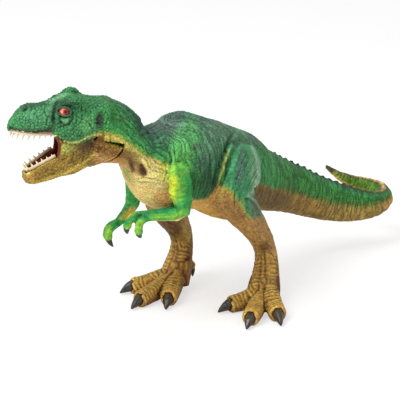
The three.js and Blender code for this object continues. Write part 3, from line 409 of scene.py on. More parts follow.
def along(points, line):
    """Arc length, offset from the line and unit direction of the line at the nearest place on it."""
    start, vector = line[:-1], np.diff(line, axis=0)
    length = np.linalg.norm(vector, axis=1)
    before = np.concatenate([[0], np.cumsum(length)[:-1]])
    best = np.full(len(points), 1e9)
    s = np.zeros(len(points))
    off = np.zeros((len(points), 3))
    way = np.zeros((len(points), 3))
    for a, v, l, b in zip(start, vector, length, before):
        t = np.clip((points - a) @ v / l ** 2, 0, 1)
        o = points - a - t[:, None] * v
        d = (o ** 2).sum(1)
        closer = d < best
        best[closer] = d[closer]
        s[closer] = b + t[closer] * l
        off[closer] = o[closer]
        way[closer] = v / l
    return s, off, way


def resampled(line, count):
    """The line as a smooth curve of evenly spaced points."""
    line = np.array(line, float)
    rows = np.concatenate([[2 * line[0] - line[1]], line, [2 * line[-1] - line[-2]]])
    out = []
    for i in range(1, len(rows) - 2):
        p0, p1, p2, p3 = rows[i - 1:i + 3]
        for t in np.linspace(0, 1, 12, endpoint=False):
            bend = (2 * p0 - 5 * p1 + 4 * p2 - p3) * t * t + (3 * p1 - p0 - 3 * p2 + p3) * t ** 3
            out.append(0.5 * (2 * p1 + (p2 - p0) * t + bend))
    out = np.array(out + [line[-1]])
    run = np.concatenate([[0], np.cumsum(np.linalg.norm(np.diff(out, axis=0), axis=1))])
    at = np.linspace(0, run[-1], count)
    return np.stack([np.interp(at, run, out[:, c]) for c in range(3)], 1)


def unit(vectors):
    return vectors / np.maximum(np.linalg.norm(vectors, axis=1), 1e-9)[:, None]


# ---- the one skin of the still body
SKIN_NODES = ["torso", "tail", "head_and_neck", "left_leg", "right_leg", "left_arm", "right_arm"]
SKIN_VOXEL = voxel_of(0.38)
GROW = 0.2
SOFTEST = 2.2
SOFTNESS = {"torso": 2.2, "tail": 1.1, "head_and_neck": 0.75, "left_leg": 1.0, "right_leg": 1.0,
            "left_arm": 0.6, "right_arm": 0.6}


def labels_of(points):
    """For each point, the number of the skin node it belongs to."""
    gaps = np.stack([gap_to(points, name, 3.0) for name in SKIN_NODES])
    return gaps.argmin(0)


HINGE_AT = np.array([73.03, 5.40, 87.94])
# fore and up from the hinge of the balls that close the slit between the lip's end and the cheek
CORNER_BALLS = ((10.6, 2.2), (10.5, 1.4), (10.4, 0.6), (10.3, -0.2), (10.2, -1.0), (10.0, -1.8))
CORNER_OUT, CORNER_RADIUS = 7.5, 0.9


def both_sides(fore, out, up, radius):
    """A ball on each side of the hinge."""
    return [(HINGE_AT + fore * SKULL_FORE + side * out * SKULL_LEFT + up * SKULL_UP, radius)
            for side in (1, -1)]


corners = sum([both_sides(fore, CORNER_OUT, up, CORNER_RADIUS) for fore, up in CORNER_BALLS], [])
skin = Skin(*largest(*remeshed([nodes[n] for n in SKIN_NODES], SKIN_VOXEL, GROW, corners)))
label = labels_of(skin.points)
spine = resampled(SPINE, 140)
s, off, way = along(skin.points, spine)
left = unit(np.stack([-way[:, 1], way[:, 0], np.zeros(len(way))], 1))
height = (off * np.cross(way, left)).sum(1)
lateral = (off * left).sum(1)
down = np.degrees(np.arctan2(np.abs(lateral), height))
girth = np.hypot(lateral, height)

soft = np.array([SOFTNESS[n] for n in SKIN_NODES])[label]
scute_rows = (label == 1) & (np.abs(lateral) < 1.8) & (height > 0)
legs_too = (label > 2) | (skin.points[:, 2] < 40)
leg_join = skin.blurred(legs_too.astype(float), int(8 / SKIN_VOXEL))
soft = np.maximum(soft, SOFTEST * np.clip(6 * leg_join * (1 - leg_join), 0, 1) * (label != 2))
soft = skin.blurred(np.where(scute_rows, 0.45, soft), int(2 / SKIN_VOXEL))
skin.smooth(int(2 * (SOFTEST / SKIN_VOXEL) ** 2), 0.5 * (soft / SOFTEST) ** 2)
skin.push(-GROW)

P = skin.points
N0 = skin.normals()
is_torso, is_tail, is_head, is_left_leg, is_right_leg = (label == n for n in range(5))
is_leg = is_left_leg | is_right_leg
is_arm = label > 4
is_body = label < 3

# the place on the animal's left that mirrors each point of its right
in_skull = P - SKULL_AT
skull_fore, skull_left = in_skull @ SKULL_FORE, in_skull @ SKULL_LEFT
near_side = P - 2 * np.minimum(lateral, 0)[:, None] * left * is_body[:, None]
beyond = is_head & (skull_fore > -6)
near_side[beyond] = (P - 2 * np.minimum(skull_left, 0)[:, None] * SKULL_LEFT)[beyond]


def leg_frame(name):
    """A leg's centre curve with its forward and outward directions."""
    curve = resampled(LEG_LINES[name], LEG_STEPS)
    way_down = unit(np.gradient(curve, axis=0))
    outward = unit(np.cross(LEG_FORE[name], way_down))
    outward *= np.sign(outward[:, 1:2] * (1 if name == "left_leg" else -1))
    forward = np.cross(outward, way_down)
    return curve, forward * np.sign(forward[:, 0:1]), outward


leg_share, leg_fore, leg_out = np.zeros(len(P)), np.zeros(len(P)), np.zeros(len(P))
leg_shares = np.linspace(0, 1, LEG_STEPS)


def spread(table, share):
    return np.stack([np.interp(share, leg_shares, table[:, c]) for c in range(3)], 1)


for name, chosen in (("left_leg", is_left_leg), ("right_leg", is_right_leg)):
    curve, forward, outward = leg_frame(name)
    place, across, _ = along(P[chosen], curve)
    share = place / np.linalg.norm(np.diff(curve, axis=0), axis=1).sum()
    leg_share[chosen] = share
    leg_fore[chosen] = (across * spread(forward, share)).sum(1)
    leg_out[chosen] = (across * spread(outward, share)).sum(1)

# the far thigh is seen as the near one
curve, forward, outward = leg_frame("left_leg")
matched = spread(curve, leg_share) + leg_fore[:, None] * spread(forward, leg_share)
matched += leg_out[:, None] * spread(outward, leg_share)
thigh_share = 1 - step(0.40, 0.50, leg_share)
sight = Sight(near_side)
as_near = Sight(matched)
sight.u += (as_near.u - sight.u) * thigh_share * is_right_leg
sight.v += (as_near.v - sight.v) * thigh_share * is_right_leg
U, V = sight.u, sight.v
flank = ~is_arm & (~is_right_leg | (thigh_share > 0.5))


def softened(mask, reach):
    """The mask with its edge blurred over a reach in millimetres."""
    return skin.blurred(mask.astype(float), int(reach / SKIN_VOXEL))


# ---- carving
neck = is_body * step(190, 200, s) * (1 - step(-14, -5, skull_fore) * is_head)
trunk = softened(is_torso | (is_head & ~beyond), 2)
tail = softened(is_tail, 2)
head = softened(beyond, 2)
round_it = np.radians(down) * girth
turn_a, turn_b = np.cos(np.radians(down)) * girth, np.sin(np.radians(down)) * lateral
waver = 0.8 * noise(P / 6, 5)
slant = s + 0.75 * np.minimum(round_it, 12) + 0.12 * round_it + waver
carve = 0.22 * noise(P / 11, 41) * is_body
trunk_lines = trunk * (1 - neck) * wrinkles(slant / 1.6, turn_a / 11, turn_b / 11, 11)
carve += trunk * (1 - neck) * 0.16 * layered(np.stack([slant / 3.1, turn_a / 9, turn_b / 9], 1), 2, 13)
neck_lines = neck * wrinkles((round_it + 0.35 * s + waver) / 1.5, s / 8, np.sign(lateral) * 3, 15)
rings = (s + 0.10 * round_it + 0.5 * waver) / 1.7
ring_lines = tail * wrinkles(rings, turn_a / 7, turn_b / 7, 17)
chest = step(112, 140, down) * step(150, 165, s)
trunk_lines *= 1 - 0.75 * chest
neck_lines *= 1 - 0.6 * chest
carve += 0.34 * (trunk_lines + neck_lines) + 0.2 * ring_lines
carve += tail * 0.13 * (pebbles(P / 1.15, 19) - 0.6)
carve += trunk * 0.16 * (pebbles(P / 1.15, 23) - 0.6)
X, Y, Z = P.T
grain = 0.30 * (pebbles(P / 1.25, 31) - 0.6) + 0.16 * wrinkles(X / 3.0, Y / 3.0, Z / 3.0, 35, 0.2)
carve += head * grain
carve += is_arm * (0.08 * layered(P / 1.3, 2, 33) + 0.16 * wrinkles(Z / 1.6, X / 4, Y / 4, 34))
thigh_grain = is_leg * np.where(is_right_leg, thigh_share, 1) * step(26, 40, Z)
carve += thigh_grain * 0.32 * wrinkles((leg_fore + 0.4 * waver) / 1.7, Z / 9, leg_out / 9, 37)
shank_grain = is_leg * step(14, 20, Z) * (1 - thigh_grain)
carve += shank_grain * 0.32 * wrinkles((leg_fore + leg_out) / 1.6, Z / 6, leg_fore / 6, 39)
carve += is_leg * 0.14 * (pebbles(P / 1.2, 43) - 0.6)

FOLDS = (
    (((133, 112), (139, 123), (143, 131)), 1.6, 0.55),
    (((127, 108), (133, 118), (137, 126)), 1.3, 0.35),
    (((141, 118), (147, 128), (150, 134)), 1.5, 0.45),
    (((120, 106), (127, 114), (131, 122)), 1.2, 0.25),
    (((146, 130), (152, 140), (157, 146)), 1.4, 0.35),
    (((114, 104), (121, 114), (125, 122)), 1.1, 0.25),
    (((150, 127), (158, 136), (162, 146)), 1.3, 0.3),
    (((167, 145), (170, 152), (172, 158)), 1.6, 0.5),
    (((176, 149), (173, 158), (170, 166)), 1.4, 0.4),
    (((179, 163), (173, 172), (169, 181)), 1.6, 0.55),
    (((184, 118), (193, 127), (200, 139)), 1.5, 0.3),
    (((200, 117), (207, 127), (212, 139)), 1.4, 0.3),
    (((196, 150), (201, 162), (201, 176)), 1.5, 0.35),
    (((209, 146), (212, 160), (210, 175)), 1.4, 0.35),
    (((128, 158), (131, 166), (132, 173)), 1.8, 0.5),
    (((140, 164), (143, 171), (146, 177)), 2.2, 0.6),
    (((134, 181), (143, 184), (147, 184)), 1.2, 0.3),
    (((241, 127), (232, 142), (225.5, 160), (220, 178), (217, 188)), 2.2, -0.7),
    (((238, 126), (229, 142), (222.5, 159), (217, 176), (213, 190)), 2.6, 0.9),
    (((243, 134), (235, 150), (229, 166), (224, 182)), 1.8, 0.4),
    (((253, 146), (258, 160), (259, 176), (256, 189), (249, 196)), 2.2, -0.45),
    (((250.5, 137), (258, 147), (263, 162), (263, 178), (259, 192), (254, 199)), 1.8, 0.7),
    (((244, 200), (250, 199), (255, 203), (261, 213)), 1.6, 0.55),
    (((249, 196), (247, 205), (248, 216)), 1.5, 0.35),
    (((274, 160), (272, 174), (276, 188)), 1.6, 0.3),
)
HEAD_FOLDS = (
    (((57, 100), (54.5, 106), (53.5, 114), (53.5, 122)), 1.6, 0.5),
    (((59, 103), (57, 109), (57.5, 116), (60, 122)), 1.3, -0.25),
    (((59.5, 117), (60.5, 122), (64, 125.5), (69, 124.5), (71.8, 120), (71.8, 114.5)), 1.1, 0.4),
    (((62, 120.5), (69, 120)), 2.6, -0.35),
    (((76, 112), (77, 119), (75.5, 126), (71.5, 132)), 1.2, 0.3),
    (((81, 106), (83, 113), (82, 121)), 0.9, 0.25),
    (((89, 104), (91, 112), (91, 120)), 0.9, 0.25),
    (((100, 113), (99, 119), (97.5, 126)), 3.0, 0.6),
    (((82, 130), (86, 128), (90, 125)), 6.0, -0.35),
    (((46, 101), (56, 97), (66, 94)), 1.3, -0.25),
    (((44, 105.5), (52, 103), (60, 99.5)), 1.2, 0.3),
    (((22.5, 110.5), (25, 107.5), (27.5, 106.5)), 1.4, 0.7),
    (((21.5, 113), (27, 110.5), (30.5, 107)), 1.2, -0.3),
    (((9, 127), (20, 131.5), (32, 133.5), (44, 132), (52, 132.5)), 1.2, 0.3),
    (((34, 112), (38, 119), (37, 127)), 1.2, 0.25),
    (((44, 110), (47, 118), (46, 127)), 1.2, 0.25),
)
carve += sight.folds(FOLDS) * flank * ~beyond
carve += sight.folds(HEAD_FOLDS) * is_head

# ---- plates across the feet and toes, in a column down to each claw
TOE_SIDES = {"inner": -1, "middle": 0, "outer": 1, "rear": 0}
PLATE = 1.75
FOOT_TOP = 27
TOE_REACH = 9
nearest, second = np.full(len(P), 1e3), np.full(len(P), 1e3)
plate_at, plate_top = np.zeros(len(P)), np.zeros(len(P))
for side, chosen in (("left", is_left_leg), ("right", is_right_leg)):
    chosen = np.nonzero(chosen & (Z < FOOT_TOP))[0]
    ankle, foot = (np.array(LEG_LINES[side + "_leg"][n]) for n in (3, 4))
    yaw = math.radians(FOOT_YAW[side])
    ahead = np.array([math.cos(yaw), math.sin(yaw), 0.0])
    outside = np.array([-ahead[1], ahead[0], 0.0]) * (1 if side == "left" else -1)
    for toe, spot in TOE_SIDES.items():
        low, high = box_of(f"{side}_{toe}_toe_claw")
        claw = (low + high) / 2
        rows = [ankle + 3.2 * ahead + 1.6 * spot * outside, foot + 3.5 * ahead + 2.6 * spot * outside,
                foot + (claw - foot) / 2, claw]
        heights = (22.0, 11.0, 7.0, 4.5)
        if toe == "rear":
            rows, heights = [foot, (foot + claw) / 2, claw], (12.0, 7.0, 4.0)
        column = np.array([(x, y, z) for (x, y, _), z in zip(rows, heights)])
        place, across, _ = along(P[chosen], column)
        d = np.linalg.norm(across, axis=1)
        second[chosen] = np.minimum(second[chosen], np.maximum(nearest[chosen], d))
        closer = d < nearest[chosen]
        nearest[chosen[closer]] = d[closer]
        plate_at[chosen[closer]] = (place + 5.3 * spot)[closer]
        facing = (N0[chosen] @ (ahead * 0.8 + np.array([0, 0, 0.6])))[closer]
        plate_top[chosen[closer]] = facing
phase = plate_at / PLATE + 0.35 * noise(P / 2.4, 51)
plates = (0.5 + 0.5 * np.cos(2 * math.pi * phase)) ** 0.6 - 0.6
plate_mask = is_leg * (nearest < TOE_REACH) * step(-0.35, 0.3, plate_top) * (1 - step(22, FOOT_TOP, Z))
seams = bump(second - nearest, 0.8) * (nearest < TOE_REACH) * is_leg
plates = plates * plate_mask * (0.75 + 0.5 * noise(P / 3.5, 53))
carve += 0.22 * plates - 0.35 * seams * plate_mask

# cuffs of skin round the claws
CUFF_REACH = 3.0
claw_gap = np.full(len(P), CUFF_REACH)
for name in nodes:
    if name.endswith("claw"):
        claw_gap = np.minimum(claw_gap, gap_to(P, name, CUFF_REACH))
carve += 0.3 * bump(claw_gap - 0.9, 0.6) * step(0.2, 0.5, claw_gap)

skin.push(carve)
relief = skin.relief(int(2.2 / SKIN_VOXEL))
N = skin.normals()


def half_width(fore, out):
    """Half width of a skull or jaw at each point's place along it."""
    slot = np.clip((fore - fore.min()).astype(int), 0, 99)
    widest = np.zeros(100)
    np.maximum.at(widest, slot, np.abs(out))
    return np.interp(fore - fore.min(), np.arange(100) + 0.5, widest)


# ---- paint of the skin
NECK_EDGE = (
    (90, 133), (100, 132), (108, 133), (120, 136.5), (130, 143.5), (140, 151), (150, 157), (160, 162),
    (168, 164), (172, 170), (178, 190), (186, 197), (190.6, 198), (198.8, 201), (207, 199), (212, 193),
    (218.2, 186), (230, 186), (262, 184), (270, 187), (278, 190), (292, 194), (305, 198), (324, 203.5),
    (342, 207), (361, 208), (375, 207), (384, 204), (392, 196),
)
THIGH_EDGE = (
    (205, 178), (217, 183), (224, 187), (231, 193), (238, 200), (243, 207), (247, 215), (252, 219),
    (262, 218), (266, 212), (275, 205),
)
TRUNK_STROKES = (
    ((66, 100, 88), 0.75, 186, 113, 34, 10, 4),
    ((70, 98, 88), 0.7, 148, 122, 11, 12, 30),
    ((98, 180, 106), 0.8, 185, 148, 13, 30, 14),
    ((94, 178, 76), 0.8, 178, 172, 12, 26, 10),
    ((78, 88, 78), 0.75, 197, 147, 4.2, 4.0, 0),
    ((104, 150, 116), 0.8, 214, 142, 12, 26, 14),
    ((76, 116, 90), 0.6, 205, 166, 9, 14, 10),
    ((38, 98, 42), 0.9, 203, 188, 16, 17, 0),
    ((30, 78, 48), 0.6, 213, 168, 7, 24, 18),
    ((90, 160, 102), 0.6, 240, 128, 9, 9, 30),
    ((54, 134, 62), 0.85, 112, 118, 26, 13, 20),
    ((40, 104, 70), 0.6, 132, 112, 16, 9, 38),
    ((92, 96, 66), 0.5, 122, 118, 3.5, 3.5, 0),
    ((44, 76, 62), 0.7, 141, 127, 5, 13, -28),
    ((60, 108, 84), 0.6, 158, 140, 12, 12, 20),
    # the dark line in front of the thigh flap is painted shadow in the groove there
    ((26, 66, 38), 0.85, ((232, 142), (225, 159), (219, 177), (215, 190)), 4.0),
)
UNDER_STROKES = (
    ((218, 206, 104), 0.9, 140, 160, 34, 9, 38),
    # the brown ovals under the neck and in the hollow behind the jaw are painted shade
    ((150, 102, 46), 0.75, 118, 152, 22, 7, 22),
    ((114, 76, 34), 0.75, 101, 147, 13, 7, 8),
    ((150, 154, 52), 0.85, 116, 143.5, 9, 4, 22),
    ((140, 100, 42), 0.8, 114, 151.5, 18, 5, 20),
    ((212, 204, 96), 0.8, ((105, 136.5), (118, 139.5), (129.5, 147)), 2.4),
    ((220, 170, 110), 0.8, ((96.4, 156.8), (110, 163), (125, 167.5)), 2.5),
    ((240, 218, 134), 0.95, 150, 182, 20, 22, 0),
    ((238, 204, 120), 0.9, 146, 196, 20, 9, 18),
    ((150, 104, 50), 0.8, 138, 168, 10, 6, 30),
    ((84, 52, 22), 1.0, 142.5, 171.5, 4, 6, -24),
    ((90, 56, 24), 0.9, 131.5, 166, 2.6, 7, -14),
    ((206, 146, 78), 0.7, 163, 198, 9, 7, 0),
    ((132, 186, 60), 0.8, 126.5, 188, 3.2, 18, 0),
    ((204, 208, 84), 0.8, 166, 172, 7, 10, 0),
    ((220, 170, 88), 0.8, 198, 206, 14, 6, 0),
    ((204, 152, 62), 0.9, 210, 214, 14, 6, 8),
    ((112, 92, 46), 0.9, 268, 198, 26, 12, 10),
    ((158, 126, 58), 0.7, 312, 211, 30, 10, 12),
    ((164, 142, 66), 0.7, 358, 214, 34, 9, 0),
)
EAR = ((46, 60, 46), 0.9, 100, 120, 3.8, 8, 8)
HEAD_STROKES = (
    ((60, 134, 78), 1.0, 60, 112, 60, 34, 0),
    ((86, 160, 106), 0.8, 36, 118, 16, 10, -6),
    ((46, 86, 68), 0.8, 36, 101, 22, 5, -12),
    ((88, 160, 110), 0.8, 52, 108, 5, 12, 12),
    ((22, 58, 34), 0.85, ((10, 129), (22, 133), (34, 134.5), (46, 132), (50, 129)), 2.6),
    # the dark line down the furrow in front of the eye is painted shade
    ((18, 46, 28), 0.9, ((57, 101), (54, 106), (53, 116), (53.5, 123)), 2.2),
    # this dark oval and the dark line under the eye below are painted shade in the eye socket
    ((26, 60, 38), 0.9, 66, 108, 11, 7.5, -8),
    ((96, 168, 110), 0.8, 66, 120.5, 5.5, 2.6, 0),
    ((22, 56, 34), 0.8, ((59, 118), (61, 124), (67, 125.5), (72, 120), (74, 113)), 1.4),
    # the pale line along the brow crest is a painted highlight
    ((112, 176, 126), 0.8, ((46, 101), (56, 98.5), (66, 95), (75, 92)), 1.6),
    ((44, 112, 70), 0.6, 70, 89, 7, 4, 0),
    ((88, 160, 92), 0.85, 87, 126, 9, 9, 10),
    ((40, 112, 58), 0.6, 78, 108, 7, 12, 0),
    EAR,
    ((20, 48, 30), 0.9, 25, 109, 3.6, 2.4, -30),
    ((12, 26, 18), 0.95, 25, 108.5, 1.8, 1.3, -30),
)
PARTING = ((226, 218, 122), 0.9, ((50, 134.5), (57, 137), (62.5, 141), (69.6, 143), (78.6, 142),
                                  (85.7, 138.5), (94.6, 134.6), (101, 134)), 1.0)
THIGH_STROKES = (
    ((84, 120, 98), 0.85, 241, 166, 6, 19, 5),
    ((60, 144, 92), 0.7, 231, 166, 5.5, 22, 14),
    ((128, 172, 130), 0.75, 256, 176, 5.5, 22, -4),
    # these two pale lines along the thigh's raised rims are painted highlights
    ((160, 200, 168), 0.6, ((252, 146), (257.5, 160), (258.5, 176), (255.5, 188), (249, 196)), 2.0),
    ((130, 176, 140), 0.5, ((252, 137), (259, 146), (263.5, 160), (263.5, 178), (260, 190)), 1.2),
    ((150, 160, 60), 0.8, 221, 186, 4, 6, 0),
    ((140, 160, 60), 0.8, 230, 192, 6, 3, 30),
    # this dark olive line is painted shade in the groove behind the flap's front edge
    ((56, 80, 40), 0.7, ((238, 140), (230, 156), (225, 172), (222, 184)), 1.6),
    ((110, 156, 62), 0.8, 243.5, 210, 3, 11, -6),
    ((96, 106, 82), 0.85, 257, 208, 6.5, 12, -14),
    # this pale line along the rear fold of the calf is a painted highlight
    ((150, 190, 150), 0.6, ((251, 197), (257, 201), (262, 210), (264, 219)), 1.0),
)
SHANK_STROKES = (
    ((156, 116, 58), 0.8, 233, 210, 8, 16, -32),
    ((204, 176, 88), 0.8, 221, 190, 3.4, 10, 4),
    ((176, 134, 74), 0.6, 255, 232, 8, 18, -14),
    ((96, 62, 36), 0.8, 265, 248, 6, 5.5, 0),
    ((104, 74, 34), 0.95, 170, 229, 14, 12, 20),
    ((190, 168, 74), 0.7, 188, 236, 4, 16, -8),
)
ARM_STROKES = (
    ((206, 220, 50), 0.95, 172, 186, 6.5, 17, 4),
    ((104, 184, 72), 0.85, 180, 168, 12, 9, 0),
    ((150, 204, 56), 0.7, 169, 170, 6, 9, 10),
    ((128, 192, 58), 0.6, 180, 190, 5, 14, 4),
    ((112, 190, 66), 0.7, 183, 214, 8, 5, 0),
    ((28, 136, 88), 0.8, 164, 209, 12, 3, -6),
    ((236, 228, 126), 0.9, ((154, 222), (165, 223), (175, 222), (183, 219)), 2.0),
    ((136, 200, 60), 0.8, ((152, 217), (166, 217), (180, 215)), 2.2),
    ((146, 200, 55), 0.8, 139, 226, 4, 9, 20),
    ((160, 208, 60), 0.8, 130, 229, 4, 7, 20),
    ((24, 110, 70), 0.8, 143, 216, 7, 3, -20),
    ((205, 180, 70), 0.85, 128, 213, 9, 4, -34),
    ((26, 120, 66), 0.7, 120, 213, 10, 3, -34),
    ((146, 204, 60), 0.85, 108, 233, 4, 8, 0),
)
MOUTH = (112, 42, 24)


def under(edge_line):
    """How far each point lies under a line drawn from left to right."""
    return V - np.interp(U, *np.array(edge_line, float).T)


def coated(paint, *coats):
    """Coats of a colour over a mask."""
    for colour, mask in coats:
        paint = over(paint, rgb(*colour), mask)
    return paint


# back and flanks
paint = filled(P, 66, 150, 80)
on_trunk = step(100, 135, s) * ~is_head
paint = coated(
    paint,
    ((94, 118, 104), (1 - step(12, 58, down)) * on_trunk),
    ((66, 122, 76), (1 - step(12, 50, down)) * (1 - on_trunk)),
    ((58, 130, 56), (1 - on_trunk) * step(20, 60, down) * ~is_head),
)
paint = sight.stroked(paint, TRUNK_STROKES, is_body & ~beyond)
edge_wave = 1.8 * layered(P / 2.2, 2, 62)
under_neck = under(NECK_EDGE)
edge = step(np.where(is_tail, -5.0, -2.2), np.where(is_tail, 4.0, 2.2), under_neck + edge_wave) * is_body
edge = np.where(beyond, edge * step(90, 102, U), edge)
edge = np.maximum(edge, step(136, 150, down) * (is_torso | is_tail))
shift = 2.2 * layered(P / 2.6, 2, 61)
glow = bump(under_neck + shift, 3.0) * (is_torso | is_head) * (U < 175)
paint = over(paint, rgb(116, 176, 50), glow * 0.75)
tail_glow = bump(under_neck + shift + 3, 3.0) * is_tail
paint = over(paint, rgb(92, 112, 44), tail_glow * 0.7)
under_paint = sight.stroked(filled(P, 182, 136, 64), UNDER_STROKES)
paint = over(paint, under_paint, edge)
# head
head_paint = sight.stroked(paint, HEAD_STROKES)
head_share = is_head * (1 - step(94, 108, U)) * (1 - edge)
paint = over(paint, head_paint, head_share)
paint = sight.stroked(paint, (PARTING, EAR), is_head * beyond)
LIP = ((11, 128), (22, 132), (36, 133), (50, 132))
lip_pits = bump(sight.line(LIP)[0], 3.0) * (pebbles(P / 0.8, 63) < 0.5)
paint = over(paint, rgb(20, 44, 26), lip_pits * beyond * 0.7)
# the inside of the upper jaw, told by its calmed normals and its nearness to the palate
MOUTH_START, MOUTH_END, LIP_WIDTH, PALATE_REACH = 7, 3, 1.2, 3.4
calm = skin.blurred(N, 5)
facing_down = beyond & (calm @ SKULL_UP < -0.5)
rim = half_width(np.maximum(skull_fore, -6), np.where(facing_down, skull_left, 0)) - np.abs(skull_left)
inner = (facing_down & (rim > LIP_WIDTH)) | (calm @ SKULL_LEFT * np.sign(skull_left) < -0.3)
mouth = beyond & inner & (gap_to(P, "palate", 3.6) < PALATE_REACH)
mouth &= (skull_fore > MOUTH_START) & (skull_fore < skull_fore.max() - MOUTH_END)
paint = over(paint, rgb(*MOUTH), skin.blurred(mouth.astype(float), 1))
# tail end: the curl and the ridge of scutes
curl = is_tail * (1 - step(28, 42, s))
bend = bump(s - 30, 15)
on_top = is_tail * (height > 0)
paint = coated(
    paint,
    ((40, 92, 58), is_tail * (1 - step(10, 40, down)) * 0.6),
    ((108, 150, 42), curl * 0.85),
    ((222, 196, 90), curl * step(100, 140, down)),
    ((214, 202, 96), is_tail * (1 - step(4, 14, s)) * 0.6),
    ((28, 62, 40), on_top * bump(np.abs(lateral) - 1.6, 0.8) * bend * 0.9),
    ((60, 66, 34), on_top * bump(lateral, 1.6) * (1 - step(14, 22, s)) * 0.8),
    ((48, 46, 34), is_tail * (1 - step(3, 7, s)) * 0.8),
)
ridge = on_top * bump(lateral / 1.15, 1.0) * step(-0.25, 0.05, relief + 0.1 * noise(P / 1.2, 69))
SCUTE_DARK, SCUTE_PALE = rgb(44, 40, 30), rgb(240, 198, 120)
scute_colour = SCUTE_DARK + (SCUTE_PALE - SCUTE_DARK) * bend[:, None]
paint = over(paint, scute_colour, 1.2 * ridge * step(12, 18, s))
# legs
leg_paint = sight.stroked(filled(P, 176, 132, 68), SHANK_STROKES)
thigh_drop = under(THIGH_EDGE) + 2.5 * layered(P / 2.0, 2, 64)
thigh = (1 - step(-3, 3, thigh_drop)) * np.where(is_right_leg, thigh_share, 1)
thigh_paint = sight.stroked(filled(P, 62, 142, 90), THIGH_STROKES)
leg_paint = over(leg_paint, thigh_paint, thigh)
foot = 1 - step(16, 26, Z)
# darker brown in the seams and gaps between the toe columns is painted shade; plate tops painted lighter
# and their grooves darker are dry brush and wash along with painted highlight and shade
between_toes_shade = seams * plate_mask + step(3.4, 6.0, nearest) * (nearest < TOE_REACH)
leg_paint = coated(
    leg_paint,
    ((150, 170, 70), bump(thigh_drop, 3.0) * (U < 250) * (thigh_share > 0.2) * 0.6),
    ((186, 142, 64), foot * 0.85),
    ((130, 82, 40), foot * (1 - step(0.5, 4.5, Z)) * 0.8),
    ((214, 186, 90), foot * np.clip(plates * 2.4, 0, 1) * 0.75),
    ((134, 90, 42), foot * np.clip(-plates * 1.3, 0, 1) * 0.5),
    ((112, 66, 32), foot * between_toes_shade * 0.6),
)
paint = np.where(is_leg[:, None], leg_paint, paint)
# a pale line along the raised crest of the thigh flap: a painted highlight
CREST_HIGHLIGHT = ((229, 150), (225, 161), (220, 178), (218, 188))
crest_highlight = bump(sight.line(CREST_HIGHLIGHT)[0] + 0.3 * shift, 1.0)
paint = over(paint, rgb(176, 190, 84), crest_highlight * flank * (is_leg | is_torso) * 0.8)
# arms
arm_paint = sight.stroked(filled(P, 50, 156, 72), ARM_STROKES)
arm_share = softened(is_arm, 1.6)
paint = over(paint, arm_paint, arm_share)
# patches, wash with painted shade in the hollows and dry brush with painted highlight on the crests
# the wrinkle valleys are painted darker: painted shade in the creases
wrinkle_shade = 0.42 * trunk_lines + 0.42 * neck_lines + 0.5 * ring_lines
paint = paint * (1 + wrinkle_shade + 0.12 * (trunk + tail))[:, None]
patches = 0.22 * layered(P / 3.0, 2, 65)
paint = paint * (1 + patches + (0.42 - 0.2 * edge) * layered(P / 0.95, 2, 67))[:, None]
paint = np.clip(washed_shaded_and_highlit(paint, relief, 0.8, 0.6, 0.14), 0, 1)


def settle(node, values):
    for key, value in values.items():
        node.inputs[key].default_value = value


def shading(name):
    """A new material, its node tree and the means to add and link nodes."""
    material = bpy.data.materials.new(name)
    material.use_nodes = True
    tree = material.node_tree
    return material, tree, lambda kind: tree.nodes.new("ShaderNode" + kind), tree.links.new


def looks(name, roughness, colours=None, gloss=0.5, grain=1200.0, depth=0.12, mottle=0.15):
    """Paint carried by the mesh, or a blend of two colours, with a fine mottle and a fine bump."""
    material, tree, add, link = shading(name)
    shader = tree.nodes["Principled BSDF"]
    place = add("TexCoord")
    speckle = add("TexNoise")
    settle(speckle, {"Scale": grain, "Detail": 3.0})
    link(place.outputs["Object"], speckle.inputs["Vector"])
    if colours:
        blend = add("ValToRGB")
        for element, at, colour in zip(blend.color_ramp.elements, (0.35, 0.65), colours):
            element.position = at
            element.color = (*rgb(*colour), 1)
        link(speckle.outputs["Fac"], blend.inputs["Fac"])
        base = blend.outputs["Color"]
    else:
        carried = add("Attribute")
        carried.attribute_name = "paint"
        base = carried.outputs["Color"]
    shade = add("MapRange")
    settle(shade, {"From Min": 0.3, "From Max": 0.7, "To Min": 1 - mottle, "To Max": 1 + mottle})
    link(speckle.outputs["Fac"], shade.inputs["Value"])
    mottled = add("Mix")
    mottled.data_type = "RGBA"
    mottled.blend_type = "MULTIPLY"
    settle(mottled, {"Factor": 1.0})
    link(base, mottled.inputs[6])
    link(shade.outputs["Result"], mottled.inputs[7])
    link(mottled.outputs[2], shader.inputs["Base Color"])
    rough = add("MapRange")
    settle(rough, {"To Min": roughness - 0.08, "To Max": roughness + 0.12})
    link(speckle.outputs["Fac"], rough.inputs["Value"])
    link(rough.outputs["Result"], shader.inputs["Roughness"])
    raised = add("Bump")
    settle(raised, {"Strength": 0.8, "Distance": depth * MM})
    link(speckle.outputs["Fac"], raised.inputs["Height"])
    link(raised.outputs["Normal"], shader.inputs["Normal"])
    settle(shader, {"Specular IOR Level": gloss})
    return material


